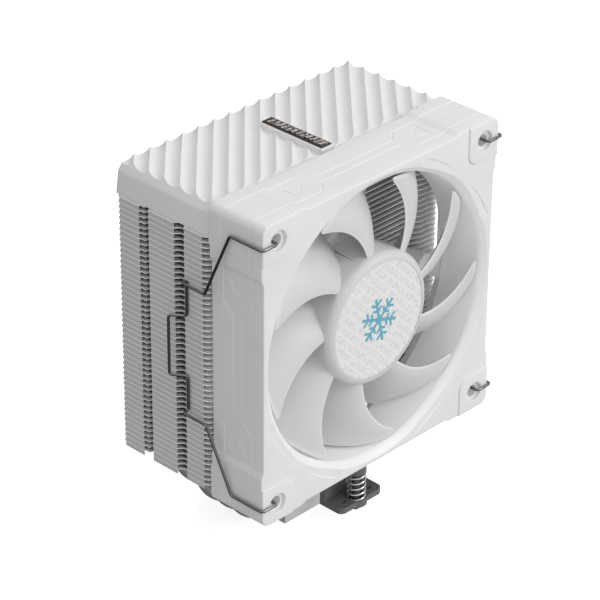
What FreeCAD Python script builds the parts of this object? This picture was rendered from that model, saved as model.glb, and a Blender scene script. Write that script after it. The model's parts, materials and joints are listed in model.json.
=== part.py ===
"""CPU tower cooler: copper base, five heat pipes, a stack of 47 fins under a fluted cover, and one
120 mm fan that two wire clips hold against the front of the fins.

Millimetres, +Z up. The origin is the centre of the base's contact face. The fan is on the -Y side and
blows towards +Y. Fan depths are counted from the front plane of its corner pads, fan_front.
"""

import FreeCAD
import Part

import math
import os
import re

from FreeCAD import Placement, Rotation, Vector

X_AXIS = Vector(1, 0, 0)
Y_AXIS = Vector(0, 1, 0)
Z_AXIS = Vector(0, 0, 1)
TURN = {"X": Rotation(Y_AXIS, 90), "Y": Rotation(X_AXIS, -90), "Z": Rotation()}
SIDES = (-1, 1)

DIMENSIONS = {
    # base
    "base_side": 40.0,
    "base_split": 8.2,
    "base_top": 15.5,
    "base_edge": 0.6,
    # heat pipes: U shapes, spaced along Y, with their bends in XZ planes
    "pipe_radius": 3.0,
    "pipe_clearance": 0.03,
    "pipe_spacing": 8.0,
    "pipe_leg": 43.6,
    "pipe_bend": 21.0,
    "pipe_inner_leg": 39.0,
    "pipe_inner_bend": 18.0,
    "pipe_tip": 141.4,
    # fins
    "fin_half_width": 59.85,
    "fin_gauge": 0.4,
    "fin_pitch": 2.19,
    "fin_top": 137.2,
    "fin_front": -21.4,
    "fin_recess": 1.6,
    "fin_recess_half": 45.8,
    "fin_recess_slope": 3.8,
    "fin_back": 24.0,
    "fin_front_corner": 3.0,
    "fin_back_corner": 1.4,
    "fin_gap": 0.04,
    "fin_bend": 0.3,
    # top cover
    "cover_half_width": 58.9,
    "cover_front": -21.4,
    "cover_back": 25.4,
    "cover_draft": 1.1,
    "cover_wall_top": 145.5,
    "cover_top": 149.3,
    "cover_bevel": 2.7,
    "cover_edge": 0.2,
    "cover_cavity": 4.8,
    "cover_wall": 1.8,
    "flute_pitch": 7.78,
    "flute_phase": -20.7,
    "flute_depth": 1.4,
    "boss_half_width": 3.3,
    "boss_front": -20.7,
    "boss_back": 10.4,
    "boss_top": 150.2,
    "plate_half_width": 2.5,
    "plate_front": -19.9,
    "plate_back": 9.6,
    "plate_thickness": 0.6,
    # crossbar and its spring screws
    "bar_half_width": 11.2,
    "bar_reach": 40.4,
    "bar_foot_top": 12.0,
    "bar_gauge": 2.4,
    "bar_riser": 31.7,
    "bar_corner": 2.5,
    "screw_reach": 37.0,
    "screw_radius": 1.5,
    "screw_hole": 2.1,
    "screw_tip": 6.2,
    "screw_head_radius": 3.8,
    "screw_head_height": 3.4,
    "seat_radius": 3.9,
    "seat_wall": 0.4,
    "seat_depth": 2.5,
    "seat_floor": 0.6,
    "slot_reach": 6.7,
    "slot_length": 2.6,
    "slot_width": 1.4,
    "spring_radius": 3.2,
    "spring_wire": 0.6,
    "spring_pitch": 2.35,
    "spring_turns": 5.05,
    "washer_radius": 3.8,
    "washer_gauge": 0.6,
    "clip_ring_radius": 3.0,
    "clip_ring_gauge": 0.5,
    "bar_screw_reach": 13.0,
    "bar_screw_radius": 1.5,
    "bar_screw_head": 2.9,
    "bar_screw_depth": 3.5,
    # fan frame
    "fan_size": 120.0,
    "fan_centre": 91.0,
    "fan_front": -48.0,
    "fan_frame_front": 0.6,
    "fan_frame_back": 25.6,
    "fan_pad_back": 26.2,
    "fan_corner": 3.5,
    "fan_bore": 55.0,
    "fan_lip": 2.6,
    "fan_flare_start": 20.0,
    "fan_flare_radius": 59.2,
    "fan_flare_half": 57.8,
    "fan_recess": 1.0,
    "fan_recess_half": 37.4,
    "fan_recess_slope": 2.4,
    "fan_hole_pitch": 105.0,
    "fan_hole": 2.4,
    "pad_side": 15.6,
    "pad_corner": 5.0,
    "pad_skin": 1.2,
    "pad_hole": 3.85,
    "pad_gap": 0.03,
    "line_width": 0.4,
    "line_depth": 0.3,
    "line_wide": 6.7,
    "line_narrow": 2.05,
    "line_inner": 20.0,
    "line_outer": 24.9,
    "mark_tip": 28.1,
    "mark_base": 34.0,
    "mark_half": 3.5,
    # struts and motor
    "cup_radius": 25.8,
    "cup_front": 19.3,
    "cup_wall": 1.5,
    "cup_floor": 24.0,
    "strut_front": 21.4,
    "strut_offset": 24.1,
    "strut_width": 4.2,
    "lead_strut_width": 8.0,
    "strut_angle": 60.0,
    "bearing_tube_radius": 5.0,
    "bearing_radius": 3.5,
    "bearing_front": 6.5,
    "shaft_radius": 1.5,
    "shaft_clearance": 0.04,
    # rotor
    "hub_radius": 25.8,
    "hub_front": 1.3,
    "hub_back": 18.6,
    "hub_round": 3.2,
    "hub_wall": 1.6,
    "hub_face": 2.0,
    "blade_tip": 53.9,
    "blade_back": 18.3,
    "blade_root_radius": 24.9,
    "sticker_radius": 22.8,
    "sticker_thickness": 0.2,
    "yoke_gauge": 1.0,
    "magnet_gauge": 2.0,
    "stator_radius": 20.4,
    "stator_front": 8.6,
    "stator_back": 15.6,
    "board_front": 18.9,
    "board_radius": 21.5,
    "tooth_width": 4.0,
    "shoe_depth": 2.4,
    "shoe_gap": 3.0,
    "coil_half": 5.6,
    "shaft_end": 22.6,
    "label_radius": 22.0,
    "lead_z": -8.0,
    "lead_half": 2.4,
    "lead_front": 21.9,
    # wire clips
    "wire_radius": 0.55,
    "clip_hole_x": 53.6,
    "clip_tip_depth": 3.0,
    "clip_height": 52.1,
    "clip_side_x": 61.0,
    "clip_knee_depth": 14.7,
    "clip_arm_x": 63.0,
    "clip_arm_depth": 25.0,
    "clip_arm_height": 26.4,
    "clip_run_x": 60.55,
    "clip_run_depth": 36.5,
    "clip_handle_x": 64.4,
    "clip_handle_depth": 41.8,
    "clip_handle_height": 12.1,
    "clip_bend": 1.3,
}
FIN_COUNT = 47
PIPE_COUNT = 5
STRUT_COUNT = 5
BLADE_COUNT = 9
COIL_COUNT = 4

doc = FreeCAD.newDocument("TowerCooler")
sheet = doc.addObject("Spreadsheet::Sheet", "dims")
for row, (alias, value) in enumerate(DIMENSIONS.items(), start=1):
    sheet.set(f"A{row}", alias.replace("_", " "))
    sheet.set(f"B{row}", str(value))
    sheet.setAlias(f"B{row}", alias)
doc.recompute()

nodes = []


def size(alias):
    """The value of a cell of the sheet."""
    return float(sheet.get(alias))


def formula(text):
    """The expression in which every alias, written as a plain word, is a cell of the sheet."""
    return re.sub(r"[a-z_]+", lambda word: "dims." + word[0] if word[0] in DIMENSIONS else word[0], str(text))


def bind(item, **expressions):
    for path, text in expressions.items():
        item.setExpression(path.replace("__", "."), formula(text))
    return item


def box(name, corner, sides):
    """A box from its lowest corner and its three sides, all as expressions."""
    item = doc.addObject("Part::Box", name)
    bind(item, Length=sides[0], Width=sides[1], Height=sides[2])
    return place(item, corner)


def place(item, corner, axis="Z"):
    item.Placement = Placement(Vector(), TURN[axis])
    return bind(item, Placement__Base__x=corner[0], Placement__Base__y=corner[1],
                Placement__Base__z=corner[2])


def rod(name, radius, start, length, axis="Z"):
    """A cylinder that runs from start along an axis."""
    item = doc.addObject("Part::Cylinder", name)
    bind(item, Radius=radius, Height=length)
    return place(item, start, axis)


def cone(name, radius_a, radius_b, start, length, axis="Z"):
    item = doc.addObject("Part::Cone", name)
    bind(item, Radius1=radius_a, Radius2=radius_b, Height=length)
    return place(item, start, axis)


def fan_rod(name, radius, front, back):
    """A cylinder on the fan's axis between two depths."""
    return rod(name, radius, ("0", f"fan_front + ({front})", "fan_centre"), f"({back}) - ({front})", "Y")


def ring(name, outer, inner, front, back):
    """A tube on the fan's axis between two depths."""
    solid = fan_rod(name + "_outer", outer, front, back)
    return cut(name, solid, fan_rod(name + "_inner", inner, front, back))


def fuse(name, *items):
    item = doc.addObject("Part::MultiFuse", name)
    item.Shapes = list(items)
    return item


def cut(name, base, *tools):
    item = doc.addObject("Part::Cut", name)
    item.Base = base
    item.Tool = tools[0] if len(tools) == 1 else fuse(name + "_tools", *tools)
    return item


def softened(name, base, radius, wanted, kind="Part::Fillet"):
    """base with the edges that wanted() picks rounded or, as a Part::Chamfer, bevelled."""
    doc.recompute()
    item = doc.addObject(kind, name)
    item.Base = base
    width = size(radius)
    item.Edges = [(n, width, width) for n, edge in enumerate(base.Shape.Edges, start=1) if wanted(edge)]
    return item


def feature(name, shape):
    item = doc.addObject("Part::Feature", name)
    item.Shape = shape
    return item


def node(item, label):
    """item is a finished sub-part, whose label names its file."""
    item.Label = label
    nodes.append(item)
    return item


def straight_along(edge, axis):
    """True for a straight edge that is parallel to axis."""
    if edge.Curve.TypeId != "Part::GeomLine":
        return False
    return abs(abs(edge.tangentAt(edge.FirstParameter).dot(axis)) - 1) < 1e-6


def around_fan(shape, angle):
    """A copy turned about the fan's axis, anticlockwise as seen from the front."""
    copy = shape.copy()
    copy.rotate(Vector(0, 0, size("fan_centre")), Y_AXIS, -angle)
    return copy


def prism(points, direction):
    return Part.Face(Part.makePolygon(points + points[:1])).extrude(direction)


# Base -----------------------------------------------------------------------------------------------


def pipe_rows():
    """The Y of each heat pipe, as expressions."""
    return [f"{n - (PIPE_COUNT - 1) / 2} * pipe_spacing" for n in range(PIPE_COUNT)]


def base_half(label, bottom, top, edge_height, tappings=()):
    """One half of the base: a square plate with a groove for the half of each pipe."""
    half = "base_side / 2"
    plate = box(label + "_plate", (f"-{half}", f"-{half}", bottom),
                ("base_side", "base_side", f"{top} - ({bottom})"))
    grooves = [
        rod(f"{label}_groove_{n}", "pipe_radius + pipe_clearance", (f"-{half} - 1", row, "base_split"),
            "base_side + 2", "X")
        for n, row in enumerate(pipe_rows(), start=1)
    ]
    plate = softened(label + "_bevelled", plate, "base_edge",
                     lambda edge: abs(edge.CenterOfMass.z - edge_height) < 1e-6, "Part::Chamfer")
    return node(cut(label + "_solid", plate, *grooves, *tappings), label)


def tapped_holes():
    """The two blind holes in the base for the crossbar's screws."""
    return [
        rod(f"tapped_hole_{n}", "bar_screw_radius + pipe_clearance",
            ("0", f"{side} * bar_screw_reach", "base_top - bar_screw_depth - 0.3"), "base_top")
        for n, side in enumerate(SIDES, start=1)
    ]


def pipe_plan(number):
    """The Y, half width and bend radius of a pipe, counted from the front: the rear two are narrower."""
    y = (number - (PIPE_COUNT + 1) / 2) * size("pipe_spacing")
    if y <= 0:
        return y, size("pipe_leg"), size("pipe_bend")
    return y, size("pipe_inner_leg"), size("pipe_inner_bend")


def heat_pipe(number):
    """A tube bent into a U, with domed ends."""
    y, leg, bend = pipe_plan(number)
    radius = size("pipe_radius")
    low, high = size("base_split"), size("pipe_tip") - size("pipe_radius")
    knee = bend * math.sqrt(0.5)
    left_leg = Part.LineSegment(Vector(-leg, y, high), Vector(-leg, y, low + bend))
    left_bend = Part.Arc(Vector(-leg, y, low + bend), Vector(bend - leg - knee, y, low + bend - knee),
                         Vector(bend - leg, y, low))
    middle = Part.LineSegment(Vector(bend - leg, y, low), Vector(leg - bend, y, low))
    right_bend = Part.Arc(Vector(leg - bend, y, low), Vector(leg - bend + knee, y, low + bend - knee),
                          Vector(leg, y, low + bend))
    right_leg = Part.LineSegment(Vector(leg, y, low + bend), Vector(leg, y, high))
    runs = (left_leg, left_bend, middle, right_bend, right_leg)
    path = Part.Wire([run.toShape() for run in runs])
    section = Part.Wire(Part.makeCircle(radius, Vector(-leg, y, high), Z_AXIS))
    tube = path.makePipeShell([section], True, False)
    domes = [Part.makeSphere(radius, Vector(side * leg, y, high), Z_AXIS, 0, 90, 360) for side in SIDES]
    label = f"heat_pipe_{number}"
    return node(feature(label, tube.multiFuse(domes).removeSplitter()), label)


# Fins -----------------------------------------------------------------------------------------------


def fin_walls():
    """The stretches along Y in which a fin's side edges are folded down: between the notches."""
    first = size("fin_front") + size("fin_front_corner")
    last = size("fin_back") - size("fin_back_corner")
    return ((first, -9.8), (-4.6, 7.9), (12.9, last))


def fin_side(side):
    """The edges of one side of a fin's outline, from the front to the back."""
    half, front, back = size("fin_half_width"), size("fin_front"), size("fin_back")
    near, far = size("fin_front_corner"), size("fin_back_corner")
    slope_start = size("fin_recess_half")
    (_, clip_start), (clip_end, lock_start), (lock_end, _) = fin_walls()
    deep, shallow = 2.0, 0.6

    def at(x, y):
        return Vector(side * x, y, 0)

    def corner(centre_x, centre_y, radius, start, end):
        turns = [math.radians(angle) for angle in (start, (start + end) / 2, end)]
        points = [at(centre_x + radius * math.cos(a), centre_y + radius * math.sin(a)) for a in turns]
        return Part.Arc(*points)

    lead_in = [at(slope_start, front + size("fin_recess")),
               at(slope_start + size("fin_recess_slope"), front), at(half - near, front)]
    clip_notch = [at(half, front + near), at(half, clip_start), at(half - deep, clip_start + 1.7),
                  at(half - deep, clip_end - 1.8), at(half, clip_end)]
    lock_notch = [at(half, lock_start), at(half - deep, lock_start + 0.3), at(half - deep, lock_start + 2.3),
                  at(half - shallow, lock_start + 2.7), at(half - shallow, lock_end - 0.3),
                  at(half, lock_end)]
    points = clip_notch + lock_notch + [at(half, back - far)]
    edges = [Part.LineSegment(a, b).toShape() for a, b in zip(lead_in, lead_in[1:])]
    edges.append(corner(half - near, front + near, near, -90, 0).toShape())
    edges += [Part.LineSegment(a, b).toShape() for a, b in zip(points, points[1:])]
    edges.append(corner(half - far, back - far, far, 0, 90).toShape())
    return edges


def fin():
    """The top fin: a thin sheet with pipe holes and folded walls that reach the fin below."""
    half, gauge, front, back = size("fin_half_width"), size("fin_gauge"), size("fin_front"), size("fin_back")
    inner, outer = size("fin_recess_half"), half - size("fin_back_corner")
    middle = front + size("fin_recess")
    closing = [Part.LineSegment(Vector(-inner, middle, 0), Vector(inner, middle, 0)).toShape(),
               Part.LineSegment(Vector(-outer, back, 0), Vector(outer, back, 0)).toShape()]
    edges = [edge for side in SIDES for edge in fin_side(side)] + closing
    sheet_face = Part.Face(Part.Wire(Part.__sortEdges__(edges)))
    plate = sheet_face.extrude(Vector(0, 0, -gauge))
    wall_height = size("fin_pitch") - size("fin_gap")
    walls = [
        Part.makeBox(gauge, end - start, wall_height,
                     Vector(side * half - (gauge if side > 0 else 0), start, -wall_height))
        for side in SIDES
        for start, end in fin_walls()
    ]
    body = plate.multiFuse(walls).removeSplitter()
    bends = [edge for edge in body.Edges
             if straight_along(edge, Y_AXIS) and abs(abs(edge.CenterOfMass.x) - half) < 1e-6
             and abs(edge.CenterOfMass.z) < 1e-6]
    body = body.makeFillet(size("fin_bend"), bends)
    radius = size("pipe_radius") + size("pipe_clearance")
    plans = [pipe_plan(number) for number in range(1, PIPE_COUNT + 1)]
    holes = [Part.makeCylinder(radius, 4 * gauge, Vector(side * leg, y, -2 * gauge))
             for side in SIDES for y, leg, _ in plans]
    return body.cut(holes)


def fin_stack():
    """Every fin, a separate solid each, in one node because they are identical."""
    first = fin()
    fins = []
    for level in range(FIN_COUNT):
        copy = first.copy()
        copy.translate(Vector(0, 0, size("fin_top") - level * size("fin_pitch")))
        fins.append(copy)
    return node(feature("fin_stack", Part.makeCompound(fins)), "fin_stack")


# Top cover ------------------------------------------------------------------------------------------


def frustum(low, high):
    """A solid between two level rectangles, each given as left, right, front, back and height."""
    def outline(left, right, front, back, z):
        corners = ((left, front), (right, front), (right, back), (left, back), (left, front))
        return Part.makePolygon([Vector(x, y, z) for x, y in corners])
    return Part.makeLoft([outline(*low), outline(*high)], True, True)


def top_cover():
    """A lid bevelled at the front and the left, whose top is cut by round flutes that run at 45 degrees."""
    half, front, back = size("cover_half_width"), size("cover_front"), size("cover_back")
    draft, bevel, edge = size("cover_draft"), size("cover_bevel"), size("cover_edge")
    low, shoulder, high = size("fin_top"), size("cover_wall_top"), size("cover_top")
    skirt = (-half, half, front, back, low)
    rim = (draft - half, half, front, back, shoulder)
    top = (draft + bevel - half, half - edge, front + bevel, back - edge, high)
    body = frustum(skirt, rim).fuse(frustum(rim, top)).removeSplitter()

    pitch, depth = size("flute_pitch"), size("flute_depth")
    half_chord = pitch * math.sqrt(0.5) / 2
    radius = (half_chord ** 2 + depth ** 2) / (2 * depth)
    along = Vector(1, 1, 0).normalize()
    reach = half + back
    first = math.ceil((-half - back - size("flute_phase")) / pitch)
    count = int(2 * reach / pitch)
    flutes = []
    for number in range(first, first + count):
        offset = size("flute_phase") + (number + 0.5) * pitch
        start = Vector(offset / 2, -offset / 2, high - depth + radius) - along * 2 * reach
        flutes.append(Part.makeCylinder(radius + 0.01, 4 * reach, start, along))
    body = body.cut(flutes)

    boss_half, boss_front = size("boss_half_width"), size("boss_front")
    boss = Part.makeBox(2 * boss_half, size("boss_back") - boss_front, size("boss_top") - shoulder,
                        Vector(-boss_half, boss_front, shoulder))
    upright = [edge for edge in boss.Edges if straight_along(edge, Z_AXIS)]
    boss = boss.makeFillet(0.8, upright)
    wall = size("cover_wall")
    cavity = Part.makeBox(2 * (half - draft - wall), back - front - 2 * wall, size("cover_cavity"),
                          Vector(draft + wall - half, front + wall, low))
    return node(feature("top_cover", body.fuse(boss).cut(cavity).removeSplitter()), "top_cover")


def name_plate():
    """A small bevelled metal plate on the cover's boss."""
    half, front = "plate_half_width", "plate_front"
    plate = box("name_plate_sheet", (f"-{half}", front, "boss_top"),
                (f"2 * {half}", f"plate_back - ({front})", "plate_thickness"))
    bevelled = softened("name_plate_bevelled", plate, "fin_bend",
                        lambda edge: edge.CenterOfMass.z > size("boss_top") + 0.5, "Part::Chamfer")
    return node(bevelled, "name_plate")


# Crossbar and spring screws -------------------------------------------------------------------------


def crossbar():
    """A steel strap bent over the base, with a foot at each end that holds a cup for a spring."""
    half, gauge, top = "bar_half_width", "bar_gauge", "bar_foot_top"
    bridge = box("bar_bridge", (f"-{half}", "-bar_riser", "base_top"),
                 (f"2 * {half}", "2 * bar_riser", gauge))
    parts, holes, seats = [bridge], [], []
    for side, name in zip(SIDES, ("front", "rear")):
        low = "-bar_reach" if side < 0 else "bar_riser - bar_gauge"
        parts.append(box(f"bar_foot_{name}", (f"-{half}", low, f"{top} - {gauge}"),
                         (f"2 * {half}", "bar_reach - bar_riser + bar_gauge", gauge)))
        riser = "-bar_riser" if side < 0 else "bar_riser - bar_gauge"
        parts.append(box(f"bar_riser_{name}", (f"-{half}", riser, f"{top} - {gauge}"),
                         (f"2 * {half}", gauge, f"base_top - {top} + 2 * {gauge}")))
        y = f"{side} * screw_reach"
        holes.append(rod(f"bar_hole_{name}", "screw_hole", ("0", y, "0"), "base_top + 1"))
        holes.append(rod(f"bar_seat_bore_{name}", "seat_radius", ("0", y, f"{top} - seat_depth"), "base_top"))
        seats.append(rod(f"bar_seat_{name}", "seat_radius + seat_wall",
                         ("0", y, f"{top} - seat_depth - seat_floor"), "seat_depth + seat_floor"))
        holes.append(rod(f"bar_screw_hole_{name}", "bar_screw_radius + 0.1",
                         ("0", f"{side} * bar_screw_reach", "base_top - 1"), "2 * bar_gauge"))
        for edge_side in SIDES:
            x = f"{edge_side} * slot_reach - slot_length / 2"
            holes.append(box(f"bar_slot_{name}_{edge_side + 1}", (x, f"{y} - slot_width / 2", "0"),
                             ("slot_length", "slot_width", "base_top + 1")))
    strap = fuse("bar_strap", *parts)
    ends = softened("bar_rounded", strap, "bar_corner",
                    lambda edge: straight_along(edge, Z_AXIS)
                    and abs(abs(edge.CenterOfMass.y) - size("bar_reach")) < 1e-6)
    return node(cut("bar_drilled", fuse("bar_with_seats", ends, *seats), *holes), "crossbar")


def crossbar_screws():
    """Two short screws that hold the crossbar on the base."""
    screws = []
    for side, name in zip(SIDES, ("front", "rear")):
        y = f"{side} * bar_screw_reach"
        shank = rod(f"bar_screw_shank_{name}", "bar_screw_radius",
                    ("0", y, "base_top - bar_screw_depth"), "bar_gauge + bar_screw_depth + 0.1")
        head = cone(f"bar_screw_head_{name}", "bar_screw_head", "bar_screw_head - 0.6",
                    ("0", y, "base_top + bar_gauge"), "1.6")
        cross = [box(f"bar_screw_slot_{name}_{n}",
                     (f"-{w} / 2", f"{y} - {d} / 2", "base_top + bar_gauge + 0.7"), (w, d, "1.2"))
                 for n, (w, d) in enumerate((("2.6", "0.6"), ("0.6", "2.6")))]
        screws.append(cut(f"bar_screw_{name}", fuse(f"bar_screw_blank_{name}", shank, head), *cross))
    pair = doc.addObject("Part::Compound", "bar_screw_pair")
    pair.Links = screws
    return node(pair, "crossbar_screws")


def spring(label, y):
    """An open compression spring that stands in the cup of the crossbar's foot, round a screw."""
    radius, wire, pitch = size("spring_radius"), size("spring_wire"), size("spring_pitch")
    bottom = size("bar_foot_top") - size("seat_depth") + wire
    height = pitch * size("spring_turns")
    helix = Part.makeHelix(pitch, height, radius)
    helix.translate(Vector(0, y, bottom))
    start = Vector(radius, y, bottom)
    section = Part.Wire(Part.makeCircle(wire, start, Y_AXIS))
    coil = Part.Wire(helix).makePipeShell([section], True, True)
    return node(feature(label, coil), label)


def screw_set(name, side):
    """A spring, the washer on it, the shouldered screw through both and the ring that keeps it."""
    y = f"{side} * screw_reach"
    spring_top = "bar_foot_top - seat_depth + spring_pitch * spring_turns + 2 * spring_wire"
    spring(f"spring_{name}", side * size("screw_reach"))
    washer = rod(f"washer_disc_{name}", "washer_radius", ("0", y, spring_top), "washer_gauge")
    bore = rod(f"washer_bore_{name}", "screw_radius + 0.3", ("0", y, "0"), "fan_centre")
    node(cut(f"washer_cut_{name}", washer, bore), f"screw_washer_{name}")

    head_bottom = f"{spring_top} + washer_gauge"
    shank = rod(f"shank_{name}", "screw_radius", ("0", y, "screw_tip"), f"{head_bottom} - screw_tip")
    head = rod(f"head_{name}", "screw_head_radius", ("0", y, head_bottom), "screw_head_height")
    ring_z = "bar_foot_top - seat_depth - seat_floor - clip_ring_gauge - 0.05"
    groove = cut(f"groove_{name}",
                 rod(f"groove_outer_{name}", "screw_radius + 1", ("0", y, ring_z), "clip_ring_gauge + 0.04"),
                 rod(f"groove_inner_{name}", "screw_radius - 0.4", ("0", y, "0"), "fan_centre"))
    cross = [box(f"cross_{name}_{n}", (f"-{w} / 2", f"{y} - {d} / 2", f"{head_bottom} + 1.4"), (w, d, "2"))
             for n, (w, d) in enumerate((("4", "0.9"), ("0.9", "4")))]
    blank = fuse(f"screw_blank_{name}", shank, head)
    doc.recompute()
    ends = (blank.Shape.BoundBox.ZMin, blank.Shape.BoundBox.ZMax)
    tip = softened(f"screw_soft_{name}", blank, "fin_bend",
                   lambda edge: edge.Curve.TypeId == "Part::GeomCircle"
                   and min(abs(edge.CenterOfMass.z - end) for end in ends) < 1e-3, "Part::Chamfer")
    node(cut(f"screw_cut_{name}", tip, groove, *cross), f"spring_screw_{name}")

    disc = rod(f"ring_disc_{name}", "clip_ring_radius", ("0", y, f"{ring_z} + 0.02"), "clip_ring_gauge")
    hole = rod(f"ring_hole_{name}", "screw_radius - 0.38", ("0", y, "0"), "fan_centre")
    mouth = box(f"ring_mouth_{name}", ("-0.9", y, "0"), ("1.8", "2 * clip_ring_radius", "fan_centre"))
    node(cut(f"ring_cut_{name}", disc, hole, mouth), f"retaining_ring_{name}")


# Fan frame ------------------------------------------------------------------------------------------


def fan_block(front, back, half):
    """A square block on the fan's axis between two depths."""
    corner = Vector(-half, size("fan_front") + front, size("fan_centre") - half)
    return Part.makeBox(2 * half, back - front, 2 * half, corner)


def fan_outer(inset=0.0):
    """The outside of the fan: a square with rounded corners and four shallow side recesses."""
    half, back = size("fan_size") / 2 - inset, size("fan_pad_back")
    block = fan_block(0, back, half)
    upright = [edge for edge in block.Edges if straight_along(edge, Y_AXIS)]
    block = block.makeFillet(size("fan_corner") - inset, upright)
    inner = size("fan_recess_half")
    outer = inner + size("fan_recess_slope")
    level = half - size("fan_recess")
    y, z = size("fan_front") - 1, size("fan_centre")
    profile = ((-outer, half), (-inner, level), (inner, level), (outer, half), (outer, half + 1),
               (-outer, half + 1))
    recess = prism([Vector(x, y, z + height) for x, height in profile], Vector(0, back + 2, 0))
    return block.cut([around_fan(recess, 90 * n) for n in range(4)])


def fan_bore():
    """The air duct: a rounded lip, a straight bore and a flared outlet that flat walls cut off."""
    bore, lip = size("fan_bore"), size("fan_lip")
    front, flare, back = size("fan_frame_front"), size("fan_flare_start"), size("fan_frame_back")
    curve = lip * (1 - math.sqrt(0.5))
    profile = [
        Part.LineSegment(Vector(0, -1, 0), Vector(bore + lip, -1, 0)),
        Part.LineSegment(Vector(bore + lip, -1, 0), Vector(bore + lip, front, 0)),
        Part.Arc(Vector(bore + lip, front, 0), Vector(bore + curve, front + curve, 0),
                 Vector(bore, front + lip, 0)),
        Part.LineSegment(Vector(bore, front + lip, 0), Vector(bore, flare, 0)),
        Part.LineSegment(Vector(bore, flare, 0), Vector(0, flare, 0)),
        Part.LineSegment(Vector(0, flare, 0), Vector(0, -1, 0)),
    ]
    face = Part.Face(Part.Wire([edge.toShape() for edge in profile]))
    face.translate(Vector(0, size("fan_front"), size("fan_centre")))
    axis_point = Vector(0, 0, size("fan_centre"))
    duct = face.revolve(axis_point, Y_AXIS, 360)
    outlet = Part.makeCone(bore, size("fan_flare_radius"), back - flare,
                           Vector(0, size("fan_front") + flare, size("fan_centre")), Y_AXIS)
    beyond = Part.makeCylinder(size("fan_flare_radius"), 5,
                               Vector(0, size("fan_front") + back, size("fan_centre")), Y_AXIS)
    return duct.fuse(outlet.fuse(beyond).common(fan_block(flare, back + 5, size("fan_flare_half"))))


def pad_block(grow=0.0):
    """The space of the top right corner pad, with a rounded inner corner."""
    side = size("pad_side") + grow
    half = size("fan_size") / 2
    centre = size("fan_centre")
    block = Part.makeBox(side + 5, 40, side + 5,
                         Vector(half - side, size("fan_front") - 5, centre + half - side))
    inner = [edge for edge in block.Edges if straight_along(edge, Y_AXIS)
             and abs(edge.CenterOfMass.x - half + side) < 1e-6
             and abs(edge.CenterOfMass.z - centre - half + side) < 1e-6]
    return block.makeFillet(size("pad_corner"), inner)


def pad_core(grow=0.0):
    """What the frame keeps inside a corner pad."""
    skin = size("pad_skin") - grow
    half = size("fan_size") / 2 - skin
    return fan_block(skin, size("fan_pad_back") - skin, half)


def hole_at(radius, sign_x=1, sign_z=1):
    reach = size("fan_hole_pitch") / 2
    start = Vector(sign_x * reach, size("fan_front") - 5, size("fan_centre") + sign_z * reach)
    return Part.makeCylinder(radius, 40, start, Y_AXIS)


def groove_run(a, b):
    """A straight strip of the width of an engraved line, from a to b, each given as X and depth."""
    width = size("line_width")
    start, end = [Vector(x, size("fan_front") + y, 0) for x, y in (a, b)]
    along = (end - start).normalize()
    across = Vector(-along.y, along.x, 0) * (width / 2)
    start, end = start - along * (width / 2), end + along * (width / 2)
    corners = [start - across, end - across, end + across, start + across]
    return prism(corners, Vector(0, 0, 1))


def side_lines():
    """The thin engraved lines and triangles of one side, as a tool that follows the recessed face."""
    half = size("fan_size") / 2
    level = size("fan_centre") + half - size("fan_recess")
    mid = (size("fan_frame_front") + size("fan_frame_back")) / 2
    inner, outer = size("line_inner"), size("line_outer")
    narrow, wide = size("line_narrow"), size("line_wide")
    runs = []
    for sign in SIDES:
        path = [(-half - 1, wide), (-outer, wide), (-inner, narrow), (inner, narrow), (outer, wide),
                (half + 1, wide)]
        points = [(x, mid + sign * offset) for x, offset in path]
        runs += list(zip(points, points[1:]))
        tip, base, spread = sign * size("mark_tip"), sign * size("mark_base"), size("mark_half")
        triangle = [(tip, mid), (base, mid - spread), (base, mid + spread), (tip, mid)]
        runs += list(zip(triangle, triangle[1:]))
    strips = [groove_run(a, b).translated(Vector(0, 0, level - size("line_depth"))) for a, b in runs]
    return strips[0].multiFuse(strips[1:])


def engraved(shape):
    """shape with the side lines cut into its four sides, as deep on the raised ends as in the middle."""
    skin = fan_outer().cut(fan_outer(size("line_depth")))
    lines = side_lines()
    raised = lines.fuse(lines.translated(Vector(0, 0, size("fan_recess"))))
    tools = [around_fan(raised, 90 * n).common(skin) for n in range(4)]
    return shape.cut(tools)


def strut(number):
    """A bar that leaves the motor cup along a tangent and meets the frame."""
    width = size("lead_strut_width") if number == 0 else size("strut_width")
    front, back = size("strut_front"), size("fan_frame_back")
    offset = size("strut_offset")
    reach = math.sqrt(size("fan_flare_radius") ** 2 - offset ** 2) + 3
    y, z = size("fan_front") + front, size("fan_centre")
    bar = Part.makeBox(reach, back - front, width, Vector(0, y, z + offset - width))
    top_front = [edge for edge in bar.Edges if straight_along(edge, X_AXIS)]
    bar = bar.makeFillet(0.6, top_front)
    return around_fan(bar, size("strut_angle") - 90 + 360 / STRUT_COUNT * number)


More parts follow.
